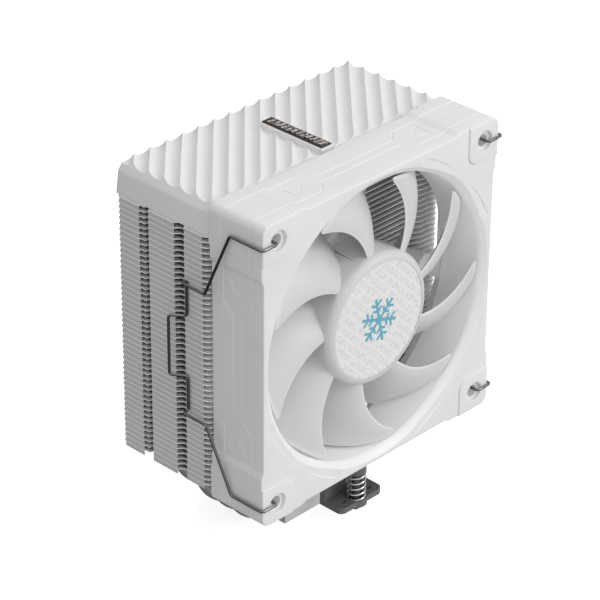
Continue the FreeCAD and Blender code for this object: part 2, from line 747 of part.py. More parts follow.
def fan_frame():
    """The fan's housing with its struts, the motor cup and the bearing tube."""
    front, back = size("fan_frame_front"), size("fan_frame_back")
    half, centre = size("fan_size") / 2, size("fan_centre")
    body = fan_outer().common(fan_block(front, back, half))
    reliefs = []
    for n in range(4):
        room = pad_block(size("pad_gap")).cut(pad_core(size("pad_gap") * -1))
        reliefs.append(around_fan(room, 90 * n))
    body = body.cut(reliefs + [fan_bore()])
    holes = [hole_at(size("fan_hole"), sx, sz) for sx in SIDES for sz in SIDES]
    body = body.cut(holes)
    keep = fan_block(size("strut_front"), back, size("fan_flare_half") + 0.8)
    struts = [strut(n).common(keep) for n in range(STRUT_COUNT)]
    start = Vector(0, size("fan_front"), centre)

    def disc(radius, a, b):
        return Part.makeCylinder(radius, b - a, start + Y_AXIS * a, Y_AXIS)

    wall, floor = size("cup_wall"), size("cup_floor")
    cup = disc(size("cup_radius"), size("cup_front"), back)
    hollow = disc(size("cup_radius") - wall, size("cup_front") - 1, floor)
    tube = disc(size("bearing_tube_radius"), size("bearing_front"), floor + 0.2)
    body = body.multiFuse(struts + [cup])
    body = body.cut(hollow).fuse(tube)
    body = body.cut([disc(size("bearing_radius"), 0, floor), lead_channel(), lead_box(size("pad_gap"))])
    return engraved(body.removeSplitter())


def lead_channel():
    """A groove along the back of the wide strut, from the cup to the frame's side."""
    width, start = size("lead_strut_width"), 12.0
    y, z = size("fan_front") + size("cup_floor") - 0.6, size("fan_centre")
    groove = Part.makeBox(50, 5, width - 3, Vector(start, y, z + size("strut_offset") - width + 1.5))
    return around_fan(groove, size("strut_angle") - 90)


def lead_box(grow=0.0):
    """The block in the frame's side that the lead leaves through."""
    half, front = size("lead_half") + grow, size("lead_front") - grow
    level = size("fan_size") / 2 - size("fan_recess")
    low = Vector(level - 2.6 - grow, size("fan_front") + front, size("fan_centre") + size("lead_z") - half)
    return Part.makeBox(2.9 + 2 * grow, size("fan_frame_back") - front + 4 * grow, 2 * half, low)


def lead_grommet():
    level = size("fan_size") / 2
    middle = size("fan_front") + (size("lead_front") + size("fan_frame_back")) / 2
    hole = Part.makeCylinder(1.1, 10, Vector(level - 6, middle, size("fan_centre") + size("lead_z")), X_AXIS)
    return node(feature("lead_grommet", lead_box().cut(hole)), "lead_grommet")


def fan_pads(frame_outer):
    """A soft pad on each corner, a sleeve over the front, the sides and the back of the frame."""
    pad = frame_outer.common(pad_block()).cut([pad_core(), fan_bore(), hole_at(size("pad_hole"))])
    for n, corner in enumerate(("top_right", "top_left", "bottom_left", "bottom_right")):
        label = f"corner_pad_{corner}"
        node(feature(label, engraved(around_fan(pad, 90 * n))), label)


# Rotor ----------------------------------------------------------------------------------------------


def lead_angle(radius):
    """The angle of a blade's leading edge, which sweeps forward towards the tip."""
    out = min(radius, 57.0) - 26
    return -3.1 + 0.475 * out + 0.01505 * out ** 2


def blade_depth(x, s):
    """The depth of a blade's middle surface at x along the blade and s across it."""
    radius = math.hypot(x, s)
    behind = radius * math.radians(lead_angle(radius) - math.degrees(math.atan2(s, x)))
    front = 4.25 - 0.044 * (radius - 26)
    return front + 0.062 * (26 / radius) ** 1.9 * max(behind, 0) ** 2


def blade_section(x):
    """The closed outline of a blade in the plane at x."""
    radius = x
    for _ in range(40):
        radius = min(x / math.cos(math.radians(lead_angle(radius))), 62)
    lead = math.sqrt(max(radius ** 2 - x ** 2, 0)) * (1 if lead_angle(radius) > 0 else -1)
    lead = min(lead, 26.0)
    trail = lead
    while blade_depth(x, trail) < size("blade_back"):
        trail -= 0.05
    count = 9
    front_side, back_side = [], []
    for n in range(count):
        share = n / (count - 1)
        s = lead + (trail - lead) * share
        thick = 0.45 + 0.75 * math.sin(math.pi * min(share * 1.6 + 0.12, 1)) ** 0.8 + 0.004 * (54 - x)
        depth = blade_depth(x, s)
        y = size("fan_front") + depth
        front_side.append(Vector(x, y - thick / 2, s))
        back_side.append(Vector(x, y + thick / 2, s))
    front_curve, back_curve = Part.BSplineCurve(), Part.BSplineCurve()
    front_curve.interpolate(front_side)
    back_curve.interpolate(back_side)
    edges = [front_curve.toShape(), Part.LineSegment(front_side[-1], back_side[-1]).toShape(),
             back_curve.toShape(), Part.LineSegment(back_side[0], front_side[0]).toShape()]
    return Part.Wire(Part.__sortEdges__(edges))


def blade():
    """One blade, drawn along +X from the fan's axis and trimmed to the tip radius."""
    sections = [blade_section(x) for x in (23.0, 27.0, 31.0, 35.0, 39.0, 43.0, 47.0, 50.5, 54.0)]
    solid = Part.makeLoft(sections, True, False)
    solid.translate(Vector(0, 0, size("fan_centre")))
    start = Vector(0, size("fan_front"), size("fan_centre"))
    zone = Part.makeCylinder(size("blade_tip"), 19.5, start, Y_AXIS)
    core = Part.makeCylinder(size("blade_root_radius"), 30, start - Y_AXIS * 5, Y_AXIS)
    return solid.common(zone).cut(core)


def fan_rotor():
    """The impeller: a cup with a rounded face, and nine swept blades."""
    radius, front, back = size("hub_radius"), size("hub_front"), size("hub_back")
    start = Vector(0, size("fan_front") + front, size("fan_centre"))
    hub = Part.makeCylinder(radius, back - front, start, Y_AXIS)
    face_edge = [edge for edge in hub.Edges if abs(edge.CenterOfMass.y - start.y) < 1e-6
                 and edge.Curve.TypeId == "Part::GeomCircle"]
    hub = hub.makeFillet(size("hub_round"), face_edge)
    inside = Part.makeCylinder(radius - size("hub_wall"), back, start + Y_AXIS * size("hub_face"), Y_AXIS)
    dish = Part.makeCylinder(size("sticker_radius") + 0.15, 0.3, start, Y_AXIS)
    body = hub.cut([inside, dish])
    angle = -18.0
    blades = [around_fan(blade(), angle + 360 / BLADE_COUNT * n) for n in range(BLADE_COUNT)]
    body = body.multiFuse(blades)
    return node(feature("fan_rotor", body.cut([inside]).removeSplitter()), "fan_rotor")


def motor():
    """What the hub and the cup hold, apart from the stator: yoke, magnet, shaft, bearing and board."""
    inner = "hub_radius - hub_wall - 0.02"
    face = "hub_front + hub_face + 0.02"
    yoke = cut("yoke_cup", fan_rod("yoke_outer", inner, face, "hub_back - 0.3"),
               fan_rod("yoke_hollow", f"{inner} - yoke_gauge", f"{face} + yoke_gauge", "hub_back"),
               fan_rod("yoke_bore", "shaft_radius + 0.02", "0", "hub_back"))
    node(yoke, "rotor_yoke")
    magnet_outer = f"{inner} - yoke_gauge - 0.02"
    magnet = ring("magnet_ring", magnet_outer, f"{magnet_outer} - magnet_gauge", "6.5", "hub_back - 0.8")
    node(magnet, "rotor_magnet")
    node(fan_rod("shaft_rod", "shaft_radius", "hub_front + hub_face + 0.02", "shaft_end"), "rotor_shaft")
    clip = ring("shaft_ring", "bearing_radius - 0.3", "shaft_radius + 0.02",
                "shaft_end - 0.8", "shaft_end - 0.3")
    node(clip, "shaft_clip")
    bearing = ring("bearing_ring", "bearing_radius - 0.02", "shaft_radius + shaft_clearance",
                   "bearing_front + 0.3", "shaft_end - 1")
    node(bearing, "bearing_sleeve")
    board = ring("board_disc", "board_radius", "bearing_tube_radius + 0.03",
                 "board_front", "board_front + 1.2")
    node(board, "motor_board")
    node(fan_rod("label_disc", "label_radius", "fan_frame_back + 0.01", "fan_frame_back + 0.2"), "rear_label")


def around_motor(shape):
    """A copy of shape for each tooth of the stator."""
    return [around_fan(shape, 360 / COIL_COUNT * n) for n in range(COIL_COUNT)]


def stator():
    """The stator: a hub, teeth with curved shoes, and a square coil round each tooth."""
    radius, front, back = size("stator_radius"), size("stator_front"), size("stator_back")
    bore, shoe, half = size("bearing_tube_radius") + 0.03, size("shoe_depth"), size("tooth_width") / 2
    centre = size("fan_centre")
    start = Vector(0, size("fan_front") + front, centre)
    depth = back - front

    def disc(r):
        return Part.makeCylinder(r, depth, start, Y_AXIS)

    def block(low, high, reach, grow):
        corner = Vector(low, size("fan_front") + front - grow, centre - reach)
        return Part.makeBox(high - low, depth + 2 * grow, 2 * reach, corner)

    rim = disc(radius).cut([disc(radius - shoe)] + [
        around_fan(gap, 45) for gap in around_motor(block(bore, radius + 1, size("shoe_gap") / 2, 0))])
    teeth = around_motor(block(bore, radius - shoe + 0.4, half, 0).common(disc(radius - shoe + 0.4)))
    core = disc(bore + 3).multiFuse(teeth + [rim]).cut(disc(bore))
    node(feature("stator_core", core.removeSplitter()), "stator_core")

    reach = size("coil_half")
    coil = block(bore + 3.4, radius - shoe - 0.9, reach, 1.6)
    upright = [edge for edge in coil.Edges if straight_along(edge, X_AXIS)]
    coil = coil.makeFillet(1.2, upright).cut(block(bore, radius, half + 0.05, 0.05))
    node(feature("stator_coils", Part.makeCompound(around_motor(coil))), "stator_coils")


def hub_sticker():
    """The round label in the face of the hub."""
    front = "hub_front + 0.1"
    disc = fan_rod("sticker_disc", "sticker_radius", front, f"{front} + sticker_thickness - 0.01")
    return node(disc, "hub_sticker")


# Wire clips -----------------------------------------------------------------------------------------


def clip_points(side):
    """The corners of a wire clip from its top end to its bottom end, mirrored by side."""
    depth = size("fan_front")

    def at(x, behind, height):
        return Vector(side * size(x), depth + behind, size("fan_centre") + height)

    high, arm, grip = size("clip_height"), size("clip_arm_height"), size("clip_handle_height")
    lead = -size("wire_radius") - 0.15
    upper = [
        at("clip_hole_x", size("clip_tip_depth"), high),
        at("clip_hole_x", lead, high),
        at("clip_side_x", lead, high),
        at("clip_side_x", size("clip_knee_depth"), high),
        at("clip_arm_x", size("clip_arm_depth"), arm),
        at("clip_arm_x", size("clip_run_depth"), arm),
        at("clip_run_x", size("clip_run_depth"), arm),
        at("clip_run_x", size("clip_run_depth"), grip),
        at("clip_handle_x", size("clip_handle_depth"), grip),
    ]
    mirror = 2 * size("fan_centre")
    return upper + [Vector(p.x, p.y, mirror - p.z) for p in reversed(upper)]


def rounded_path(points, radius):
    """Straight runs between the points, joined by tangent arcs."""
    edges, start = [], points[0]
    for before, corner, after in zip(points, points[1:], points[2:]):
        back, ahead = (before - corner), (after - corner)
        half_turn = (math.pi - back.getAngle(ahead)) / 2
        trim = min(radius * math.tan(half_turn), 0.45 * min(back.Length, ahead.Length))
        bend = trim / math.tan(half_turn)
        entry, leave = corner + back.normalize() * trim, corner + ahead.normalize() * trim
        inward = (back + ahead).normalize()
        middle = corner + inward * (math.hypot(bend, trim) - bend)
        edges += [Part.LineSegment(start, entry).toShape(), Part.Arc(entry, middle, leave).toShape()]
        start = leave
    edges.append(Part.LineSegment(start, points[-1]).toShape())
    return Part.Wire(edges)


def wire_clip(label, side):
    points = clip_points(side)
    path = rounded_path(points, size("clip_bend"))
    section = Part.Wire(Part.makeCircle(size("wire_radius"), points[0], Y_AXIS))
    wire = path.makePipeShell([section], True, False)
    return node(feature(label, wire), label)


# Assembly -------------------------------------------------------------------------------------------


def build():
    base_half("base_plate", "0", "base_split", 0)
    base_half("base_cap", "base_split", "base_top", size("base_top"), tapped_holes())
    for number in range(1, PIPE_COUNT + 1):
        heat_pipe(number)
    fin_stack()
    top_cover()
    name_plate()
    crossbar()
    crossbar_screws()
    for name, side in (("front", -1), ("rear", 1)):
        screw_set(name, side)
    node(feature("fan_frame", fan_frame()), "fan_frame")
    lead_grommet()
    fan_pads(fan_outer())
    fan_rotor()
    hub_sticker()
    motor()
    stator()
    wire_clip("wire_clip_left", -1)
    wire_clip("wire_clip_right", 1)


def check():
    """Stops if any object failed, or if any sub-part is empty or invalid."""
    for item in doc.Objects:
        if {"Invalid", "Error"} & set(item.State):
            raise RuntimeError(f"{item.Name} failed: {item.State}")
    for item in nodes:
        if item.Shape.isNull() or not item.Shape.isValid():
            raise RuntimeError(f"{item.Label} has no valid shape")
        if not item.Shape.Solids:
            raise RuntimeError(f"{item.Label} holds no solid")


def export():
    os.makedirs("parts", exist_ok=True)
    for item in nodes:
        item.Shape.exportStep(f"parts/{item.Label}.step")
        limits = item.Shape.BoundBox
        print(f"{item.Label}: {len(item.Shape.Solids)} solid(s), {item.Shape.Volume / 1000:.2f} cm3, "
              f"X {limits.XMin:.1f} {limits.XMax:.1f} Y {limits.YMin:.1f} {limits.YMax:.1f} "
              f"Z {limits.ZMin:.1f} {limits.ZMax:.1f}")


build()
doc.recompute()
check()
export()
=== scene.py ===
"""The looks of the CPU tower cooler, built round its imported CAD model.

Shapes are worked out in millimetres and put into Blender in metres, in the CAD frame. Fan pieces use
fan coordinates: x to the right, y behind the front of the corner pads, z up from the fan's axis.
"""

import json
import math

import bmesh
import bpy
from mathutils import Matrix, Vector

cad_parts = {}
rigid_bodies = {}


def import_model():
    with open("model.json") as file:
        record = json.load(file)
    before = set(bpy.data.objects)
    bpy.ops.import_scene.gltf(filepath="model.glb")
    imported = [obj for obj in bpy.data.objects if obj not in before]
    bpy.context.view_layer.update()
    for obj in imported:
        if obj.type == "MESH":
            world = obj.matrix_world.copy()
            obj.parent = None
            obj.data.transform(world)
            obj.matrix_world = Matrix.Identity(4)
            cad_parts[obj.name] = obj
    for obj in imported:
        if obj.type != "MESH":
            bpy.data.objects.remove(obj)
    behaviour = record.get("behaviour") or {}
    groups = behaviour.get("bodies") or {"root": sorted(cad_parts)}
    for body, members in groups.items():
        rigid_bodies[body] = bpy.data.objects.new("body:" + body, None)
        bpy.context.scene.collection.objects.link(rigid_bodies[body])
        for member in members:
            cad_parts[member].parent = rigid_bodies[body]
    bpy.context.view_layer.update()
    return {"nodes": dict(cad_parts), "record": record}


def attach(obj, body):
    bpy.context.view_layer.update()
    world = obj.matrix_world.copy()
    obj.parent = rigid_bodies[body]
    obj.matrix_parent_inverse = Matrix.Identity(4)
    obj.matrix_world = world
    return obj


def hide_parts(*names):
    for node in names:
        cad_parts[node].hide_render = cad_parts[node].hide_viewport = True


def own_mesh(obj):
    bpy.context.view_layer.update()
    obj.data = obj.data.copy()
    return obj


MM = 0.001
WELD, SLIVER = 1e-5, 1e-6
FAN_ORIGIN = Vector((0.0, -48.0, 91.0))
ROW_ORIGIN = Vector((0.0, 0.0, 0.0))
SIDES = (-1, 1)
FIN_TOP, FIN_PITCH = 137.2, 2.19

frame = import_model()


# Meshes ---------------------------------------------------------------------------------------------


def new_object(name, verts, faces):
    """A linked object whose mesh has the given corners and faces, with its faces turned outwards."""
    mesh = bpy.data.meshes.new(name)
    mesh.from_pydata([tuple(v) for v in verts], [], faces)
    shape = bmesh.new()
    shape.from_mesh(mesh)
    bmesh.ops.recalc_face_normals(shape, faces=shape.faces)
    shape.to_mesh(mesh)
    shape.free()
    item = bpy.data.objects.new(name, mesh)
    bpy.context.scene.collection.objects.link(item)
    return item


def loft(name, rings):
    """A closed solid through rings that have equally many points."""
    count = len(rings[0])
    verts = [point for ring in rings for point in ring]
    faces = [tuple(range(count)), tuple(range(len(verts) - count, len(verts)))]
    for level in range(len(rings) - 1):
        for n in range(count):
            a, b = level * count + n, level * count + (n + 1) % count
            faces.append((a, b, b + count, a + count))
    return new_object(name, verts, faces)


def band(name, rings):
    """A closed loop of rings, such as a moulding that runs all the way round."""
    count, levels = len(rings[0]), len(rings)
    verts = [point for ring in rings for point in ring]
    faces = []
    for level in range(levels):
        for n in range(count):
            a, b = level * count + n, level * count + (n + 1) % count
            c = ((level + 1) % levels) * count
            faces.append((a, b, c + (n + 1) % count, c + n))
    return new_object(name, verts, faces)


def lathe(name, profile, steps):
    """A closed profile of (radius, depth) pairs turned about the fan's axis."""
    rings = []
    for n in range(steps):
        turn = 2 * math.pi * n / steps
        rings.append([Vector((r * math.cos(turn), y, r * math.sin(turn))) for r, y in profile])
    item = band(name, rings)
    shape = bmesh.new()
    shape.from_mesh(item.data)
    bmesh.ops.remove_doubles(shape, verts=shape.verts, dist=WELD)
    bmesh.ops.dissolve_degenerate(shape, edges=shape.edges, dist=SLIVER)
    bmesh.ops.recalc_face_normals(shape, faces=shape.faces)
    shape.to_mesh(item.data)
    shape.free()
    return item


def prism(name, outline, front, back):
    """An outline of (x, z) pairs extruded from one depth to another."""
    return loft(name, [[Vector((x, y, z)) for x, z in outline] for y in (front, back)])


def block(name, low, high):
    outline = ((low[0], low[2]), (high[0], low[2]), (high[0], high[2]), (low[0], high[2]))
    return prism(name, outline, low[1], high[1])


def tube(name, points, radius, sides):
    """A round bar that follows the points, with a frame that doesn't twist."""
    rings, normal = [], None
    for n, point in enumerate(points):
        ahead = points[min(n + 1, len(points) - 1)] - points[max(n - 1, 0)]
        ahead = ahead.normalized()
        if normal is None:
            normal = ahead.orthogonal().normalized()
        normal = (normal - ahead * normal.dot(ahead)).normalized()
        across = ahead.cross(normal)
        turns = [2 * math.pi * k / sides for k in range(sides)]
        rings.append([point + radius * (normal * math.cos(t) + across * math.sin(t)) for t in turns])
    return loft(name, rings)


def rounded(points, radius, steps):
    """The points of a route with an arc at each corner, which takes at most a share of its two runs."""
    share_of_run = 0.45
    route = [points[0]]
    for before, corner, after in zip(points, points[1:], points[2:]):
        back, ahead = before - corner, after - corner
        half = (math.pi - back.angle(ahead)) / 2
        trim = min(radius * math.tan(half), share_of_run * min(back.length, ahead.length))
        bend = trim / math.tan(half)
        inward = (back.normalized() + ahead.normalized()).normalized()
        centre = corner + inward * math.hypot(bend, trim)
        start, end = corner + back.normalized() * trim - centre, corner + ahead.normalized() * trim - centre
        for n in range(steps + 1):
            share = n / steps
            total = start.angle(end)
            arm = (start * math.sin((1 - share) * total) + end * math.sin(share * total)) / math.sin(total)
            route.append(centre + arm)
    return route + [points[-1]]


def combine(base, tools, operation="DIFFERENCE"):
    """base after one boolean step with each tool; the tools are used up."""
    for tool in tools:
        step = base.modifiers.new(operation, "BOOLEAN")
        step.operation = operation
        step.solver = "MANIFOLD"
        step.object = tool
    shown = base.evaluated_get(bpy.context.evaluated_depsgraph_get())
    mesh = bpy.data.meshes.new_from_object(shown)
    base.modifiers.clear()
    base.data = mesh
    for tool in tools:
        bpy.data.objects.remove(tool)
    return base


def copy_turned(item, degrees):
    """A copy turned about the fan's axis, anticlockwise as seen from the front."""
    other = item.copy()
    other.data = item.data.copy()
    other.data.transform(Matrix.Rotation(math.radians(-degrees), 4, "Y"))
    bpy.context.scene.collection.objects.link(other)
    return other


def finish_piece(item, name, body, material, origin, stands_for=(), sharp=20):
    """Puts a finished shape into the CAD frame as a piece that rides on a body.

    Edges that turn by more than sharp degrees stay sharp in its shading.
    """
    weld = 2e-7
    item.name = name
    item.data.name = name
    item.data.transform(Matrix.Diagonal((MM, MM, MM, 1)) @ Matrix.Translation(origin))
    shape = bmesh.new()
    shape.from_mesh(item.data)
    bmesh.ops.remove_doubles(shape, verts=shape.verts, dist=weld)
    bmesh.ops.dissolve_degenerate(shape, edges=shape.edges, dist=weld)
    shape.to_mesh(item.data)
    shape.free()
    item.data.shade_smooth()
    item.data.set_sharp_from_angle(angle=math.radians(sharp))
    item.data.materials.clear()
    item.data.materials.append(material)
    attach(item, body)
    if stands_for:
        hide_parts(*stands_for)


# Materials ------------------------------------------------------------------------------------------

# A Mix node's sockets for colours, which share their names with its sockets for numbers and vectors.
MIX_FIRST, MIX_SECOND, MIX_RESULT = 6, 7, 2


class Surface:
    """A material whose colour, roughness and bump come from procedural nodes on object coordinates."""

    def __init__(self, name, colour, roughness, metallic=0.0, coat=0.0, specular=0.5):
        self.material = bpy.data.materials.new(name)
        self.material.use_nodes = True
        self.tree = self.material.node_tree
        self.shader = self.tree.nodes["Principled BSDF"]
        self.colour = colour
        self.set("Metallic", metallic)
        self.set("Coat Weight", coat)
        self.set("Specular IOR Level", specular)
        self.set("Base Color", (*colour, 1))
        self.set("Roughness", roughness)
        self.place = self.node("ShaderNodeTexCoord").outputs["Object"]
        self.height = None

    def set(self, socket, value):
        self.shader.inputs[socket].default_value = value

    def node(self, kind, **inputs):
        made = self.tree.nodes.new(kind)
        for socket, value in inputs.items():
            self.join(value, made.inputs[socket.replace("_", " ")])
        return made

    def join(self, value, socket):
        if isinstance(value, bpy.types.NodeSocket):
            self.tree.links.new(value, socket)
        else:
            socket.default_value = value

    def maths(self, operation, *values):
        made = self.node("ShaderNodeMath")
        made.operation = operation
        for value, socket in zip(values, made.inputs):
            self.join(value, socket)
        return made.outputs["Value"]

    def noise(self, scale, detail, stretch=(1, 1, 1)):
        place = self.node("ShaderNodeMapping", Vector=self.place, Scale=stretch).outputs["Vector"]
        return self.node("ShaderNodeTexNoise", Vector=place, Scale=scale, Detail=detail).outputs["Fac"]

    def spread(self, source, low, high, start=0.3, end=0.7):
        """source, a value between start and end, spread over low to high."""
        made = self.node("ShaderNodeMapRange", Value=source)
        for socket, value in (("From Min", start), ("From Max", end), ("To Min", low), ("To Max", high)):
            made.inputs[socket].default_value = value
        return made.outputs["Result"]

    def tint(self, source, low, high):
        """Colour between the base colour times low and times high."""
        mix = self.node("ShaderNodeMix")
        mix.data_type = "RGBA"
        self.tree.links.new(self.spread(source, 0, 1), mix.inputs["Factor"])
        mix.inputs[MIX_FIRST].default_value = (*[c * low for c in self.colour], 1)
        mix.inputs[MIX_SECOND].default_value = (*[min(c * high, 1) for c in self.colour], 1)
        self.tree.links.new(mix.outputs[MIX_RESULT], self.shader.inputs["Base Color"])

    def facing(self, axis):
        """The part of the surface's normal along an axis of the object, X, Y or Z."""
        normal = self.node("ShaderNodeTexCoord").outputs["Normal"]
        return self.node("ShaderNodeSeparateXYZ", Vector=normal).outputs[axis]

    def shade(self, factor, colour):
        """The base colour mixed with another one as far as factor says."""
        mix = self.node("ShaderNodeMix")
        mix.data_type = "RGBA"
        self.join(factor, mix.inputs["Factor"])
        self.join(self.shader.inputs["Base Color"].links[0].from_socket, mix.inputs[MIX_FIRST])
        mix.inputs[MIX_SECOND].default_value = (*colour, 1)
        self.join(mix.outputs[MIX_RESULT], self.shader.inputs["Base Color"])

    def gloss(self, source, low, high):
        self.tree.links.new(self.spread(source, low, high), self.shader.inputs["Roughness"])

    def bump(self, source, depth_mm):
        made = self.node("ShaderNodeBump", Height=source)
        made.inputs["Strength"].default_value = 1.0
        made.inputs["Distance"].default_value = depth_mm * MM
        if self.height is not None:
            self.tree.links.new(self.height, made.inputs["Normal"])
        self.height = made.outputs["Normal"]
        self.tree.links.new(self.height, self.shader.inputs["Normal"])


def moulded(name, colour, roughness, grain=0.006):
    """Moulded plastic: a fine spark-eroded grain, with slow changes of gloss and tone."""
    made = Surface(name, colour, roughness)
    made.tint(made.noise(45, 4), 0.985, 1.01)
    made.gloss(made.noise(160, 3), roughness - 0.05, roughness + 0.06)
    made.bump(made.noise(4200, 3), grain)
    return made


def metal(name, colour, roughness, stretch=(1, 1, 1)):
    """Metal with fine drawn or ground lines along the axis that stretch makes long."""
    made = Surface(name, colour, roughness, metallic=1.0)
    made.tint(made.noise(90, 4), 0.9, 1.08)
    made.gloss(made.noise(900, 5, stretch), max(roughness - 0.07, 0.03), roughness + 0.1)
    made.bump(made.noise(2600, 4, stretch), 0.004)
    return made


def coated(name, colour, roughness):
    """Paint over metal, with faint orange peel."""
    made = Surface(name, colour, roughness, coat=0.15)
    made.tint(made.noise(60, 4), 0.97, 1.02)
    made.gloss(made.noise(300, 3), roughness - 0.05, roughness + 0.07)
    made.bump(made.noise(1500, 2), 0.004)
    return made


def rotor_plastic():
    """Grey-white plastic with a painted highlight along the blades' thin edges and tips, stored on the
    rotor's points.
    """
    made = moulded("rotor_plastic", (0.74, 0.74, 0.74), 0.42)
    rim = made.node("ShaderNodeAttribute")
    rim.attribute_name = "rim"
    # Painted highlight: the point attribute rim lightens the leading edges and tips towards near white.
    made.shade(rim.outputs["Fac"], (0.95, 0.95, 0.95))
    return made


def bright_wire(name, colour, roughness, stretch=(1, 1, 1)):
    """Polished wire with painted shade underneath, a painted dark reflection of the shade below it."""
    made = metal(name, colour, roughness, stretch)
    painted_underside = [0.12 * value for value in colour]
    # Painted shade: the colour darkens to 0.12 of itself as the normal turns from upwards to downwards.
    made.shade(made.spread(made.facing("Z"), 1, 0, -0.1, 0.5), painted_underside)
    return made


def embossed_metal():
    """The raised part of the name plate, pitted all over."""
    made = metal("plate_relief_metal", (0.8, 0.76, 0.73), 0.16)
    made.shade(made.spread(made.noise(900, 3), 1, 0, 0.38, 0.48), (0.05, 0.045, 0.04))
    made.bump(made.noise(700, 3), 0.35)
    return made


def printed_film():
    """The hub's label: pale film with slanted rows of short grey strokes, in runs with gaps between."""
    made = Surface("printed_film", (0.92, 0.92, 0.92), 0.35, coat=0.2)
    turned = made.node("ShaderNodeMapping", Vector=made.place)
    turned.inputs["Rotation"].default_value = (0, math.radians(-45), 0)
    parts = made.node("ShaderNodeSeparateXYZ", Vector=turned.outputs["Vector"])
    flat = made.node("ShaderNodeCombineXYZ", X=parts.outputs["X"], Y=parts.outputs["Z"]).outputs["Vector"]
    runs = made.node("ShaderNodeTexBrick", Vector=flat, Scale=1000.0)
    values = {"Mortar Size": 0.55, "Mortar Smooth": 0.1, "Brick Width": 13.5, "Row Height": 3.45}
    for socket, value in values.items():
        runs.inputs[socket].default_value = value
    runs.offset, runs.squash = 0.37, 1.0
    narrow = made.node("ShaderNodeMapping", Vector=flat, Scale=(1.0, 0.45, 1.0)).outputs["Vector"]
    strokes = made.node("ShaderNodeTexNoise", Vector=narrow, Scale=1150.0, Detail=1.0).outputs["Fac"]
    made.tint(made.noise(60, 3), 0.99, 1.01)
    in_run = made.spread(runs.outputs["Fac"], 1, 0, 0, 1)
    made.shade(made.maths("MULTIPLY", made.spread(strokes, 0, 1, 0.46, 0.54), in_run), (0.79, 0.79, 0.79))
    made.gloss(made.noise(200, 3), 0.3, 0.42)
    made.bump(made.noise(1800, 2), 0.003)
    return made


def coated_fins():
    """White-coated aluminium with a painted highlight at the fold where a fin meets its wall and painted
    shade inside.
    """
    made = coated("coated_fins", (0.66, 0.66, 0.66), 0.42)
    parts = made.node("ShaderNodeSeparateXYZ", Vector=made.place)
    fins_down = made.spread(parts.outputs["Z"], 0, 1, FIN_TOP * MM, (FIN_TOP - FIN_PITCH) * MM)
    fins_down.node.clamp = False
    below_fold = made.maths("FRACT", fins_down)
    # Painted highlight: a pale band just below each fin's top fold.
    made.shade(made.spread(below_fold, 1, 0, 0.15, 0.22), (0.95, 0.95, 0.95))
    # Painted shade: the top fin's upper face, under the cover, is darkened to a mid grey.
    made.shade(made.spread(fins_down, 1, 0, 0, 0.03), (0.6, 0.6, 0.6))
    # Painted shade: fins more than about two millimetres inside the stack's sides, front and back are
    # darkened.
    from_side = made.spread(made.maths("ABSOLUTE", parts.outputs["X"]), 1, 0, 57.2 * MM, 57.8 * MM)
    from_front = made.spread(parts.outputs["Y"], 0, 1, -19.4 * MM, -17.5 * MM)
    from_back = made.spread(parts.outputs["Y"], 1, 0, 21.0 * MM, 23.0 * MM)
    inside = made.maths("MULTIPLY", from_side, made.maths("MULTIPLY", from_front, from_back))
    made.shade(inside, (0.33, 0.33, 0.33))
    return made


def make_materials():
    made = {
        "frame_plastic": moulded("white_plastic", (0.9, 0.9, 0.9), 0.42),
        "cover": moulded("white_cover", (0.88, 0.88, 0.88), 0.4),
        "pad": moulded("white_pad", (0.9, 0.9, 0.9), 0.55, 0.008),
        "rotor_plastic": rotor_plastic(),
        "fin_aluminium": coated_fins(),
        "pipe": metal("plated_pipe", (0.38, 0.38, 0.38), 0.3),
        "base": metal("plated_base", (0.8, 0.8, 0.79), 0.22, (0.05, 1, 1)),
        "bracket": coated("black_bracket", (0.145, 0.137, 0.137), 0.3),
        "screw": metal("zinc_screw", (0.55, 0.55, 0.56), 0.25),
        "spring": bright_wire("spring_wire", (0.85, 0.85, 0.85), 0.1),
        "wire": bright_wire("clip_wire", (0.3, 0.3, 0.3), 0.16, (1, 1, 0.1)),
        "name_plate": metal("plate_metal", (0.1, 0.09, 0.085), 0.22),
        "plate_relief": embossed_metal(),
        "sticker": printed_film(),
        "emblem": moulded("emblem_print", (0.15, 0.47, 0.6), 0.4, 0.003),
        "rotor_steel": metal("yoke_steel", (0.45, 0.45, 0.46), 0.35),
        "magnet": coated("ferrite", (0.03, 0.03, 0.03), 0.6),
        "shaft_steel": metal("ground_steel", (0.7, 0.7, 0.71), 0.12, (1, 0.05, 1)),
        "bearing": metal("sintered_bronze", (0.62, 0.42, 0.2), 0.45),
        "stator": metal("stator_steel", (0.35, 0.35, 0.36), 0.4, (1, 6, 1)),
        "coil": metal("enamelled_copper", (0.6, 0.22, 0.08), 0.25, (1, 8, 1)),
        "board": coated("solder_mask", (0.01, 0.09, 0.04), 0.3),
        "grommet": moulded("black_rubber", (0.015, 0.015, 0.015), 0.6, 0.01),
    }
    return {slot: surface.material for slot, surface in made.items()}


MATERIALS = make_materials()


def dress_cad_nodes():
    """Gives every CAD node the material of its slot."""
    slots = {part["node"]: part["material_slot"] for part in frame["record"]["subparts"]}
    for node, item in frame["nodes"].items():
        item.data.materials.clear()
        item.data.materials.append(MATERIALS[slots[node]])


# Fan housing ----------------------------------------------------------------------------------------

# Half the fan's width at its corners and at the middle of its sides, and the radius of its corners.
HALF, PANEL, CORNER = 60, 59, 3.5
FRONT, BACK, PAD_BACK = 0.6, 25.6, 26.2
MIDDLE = (FRONT + BACK) / 2
BORE, LIP = 55.0, 2.6
HOLE_AT = 52.5
# The inner faces of the corner pads, and the gap between them and the housing.
SEAT, SEAT_FRONT, SEAT_BACK, SEAT_GAP = 58.8, 1.2, 25.0, 0.04
# Where most cutters start and end, clear of the fan's front and back.
AHEAD, BEHIND = -2.0, 30.0
GROOVE_DEPTH = GROOVE_LIFT = 0.3
CORNER_STEPS = 10
QUARTER = [math.pi / 2 * n / CORNER_STEPS for n in range(CORNER_STEPS + 1)]


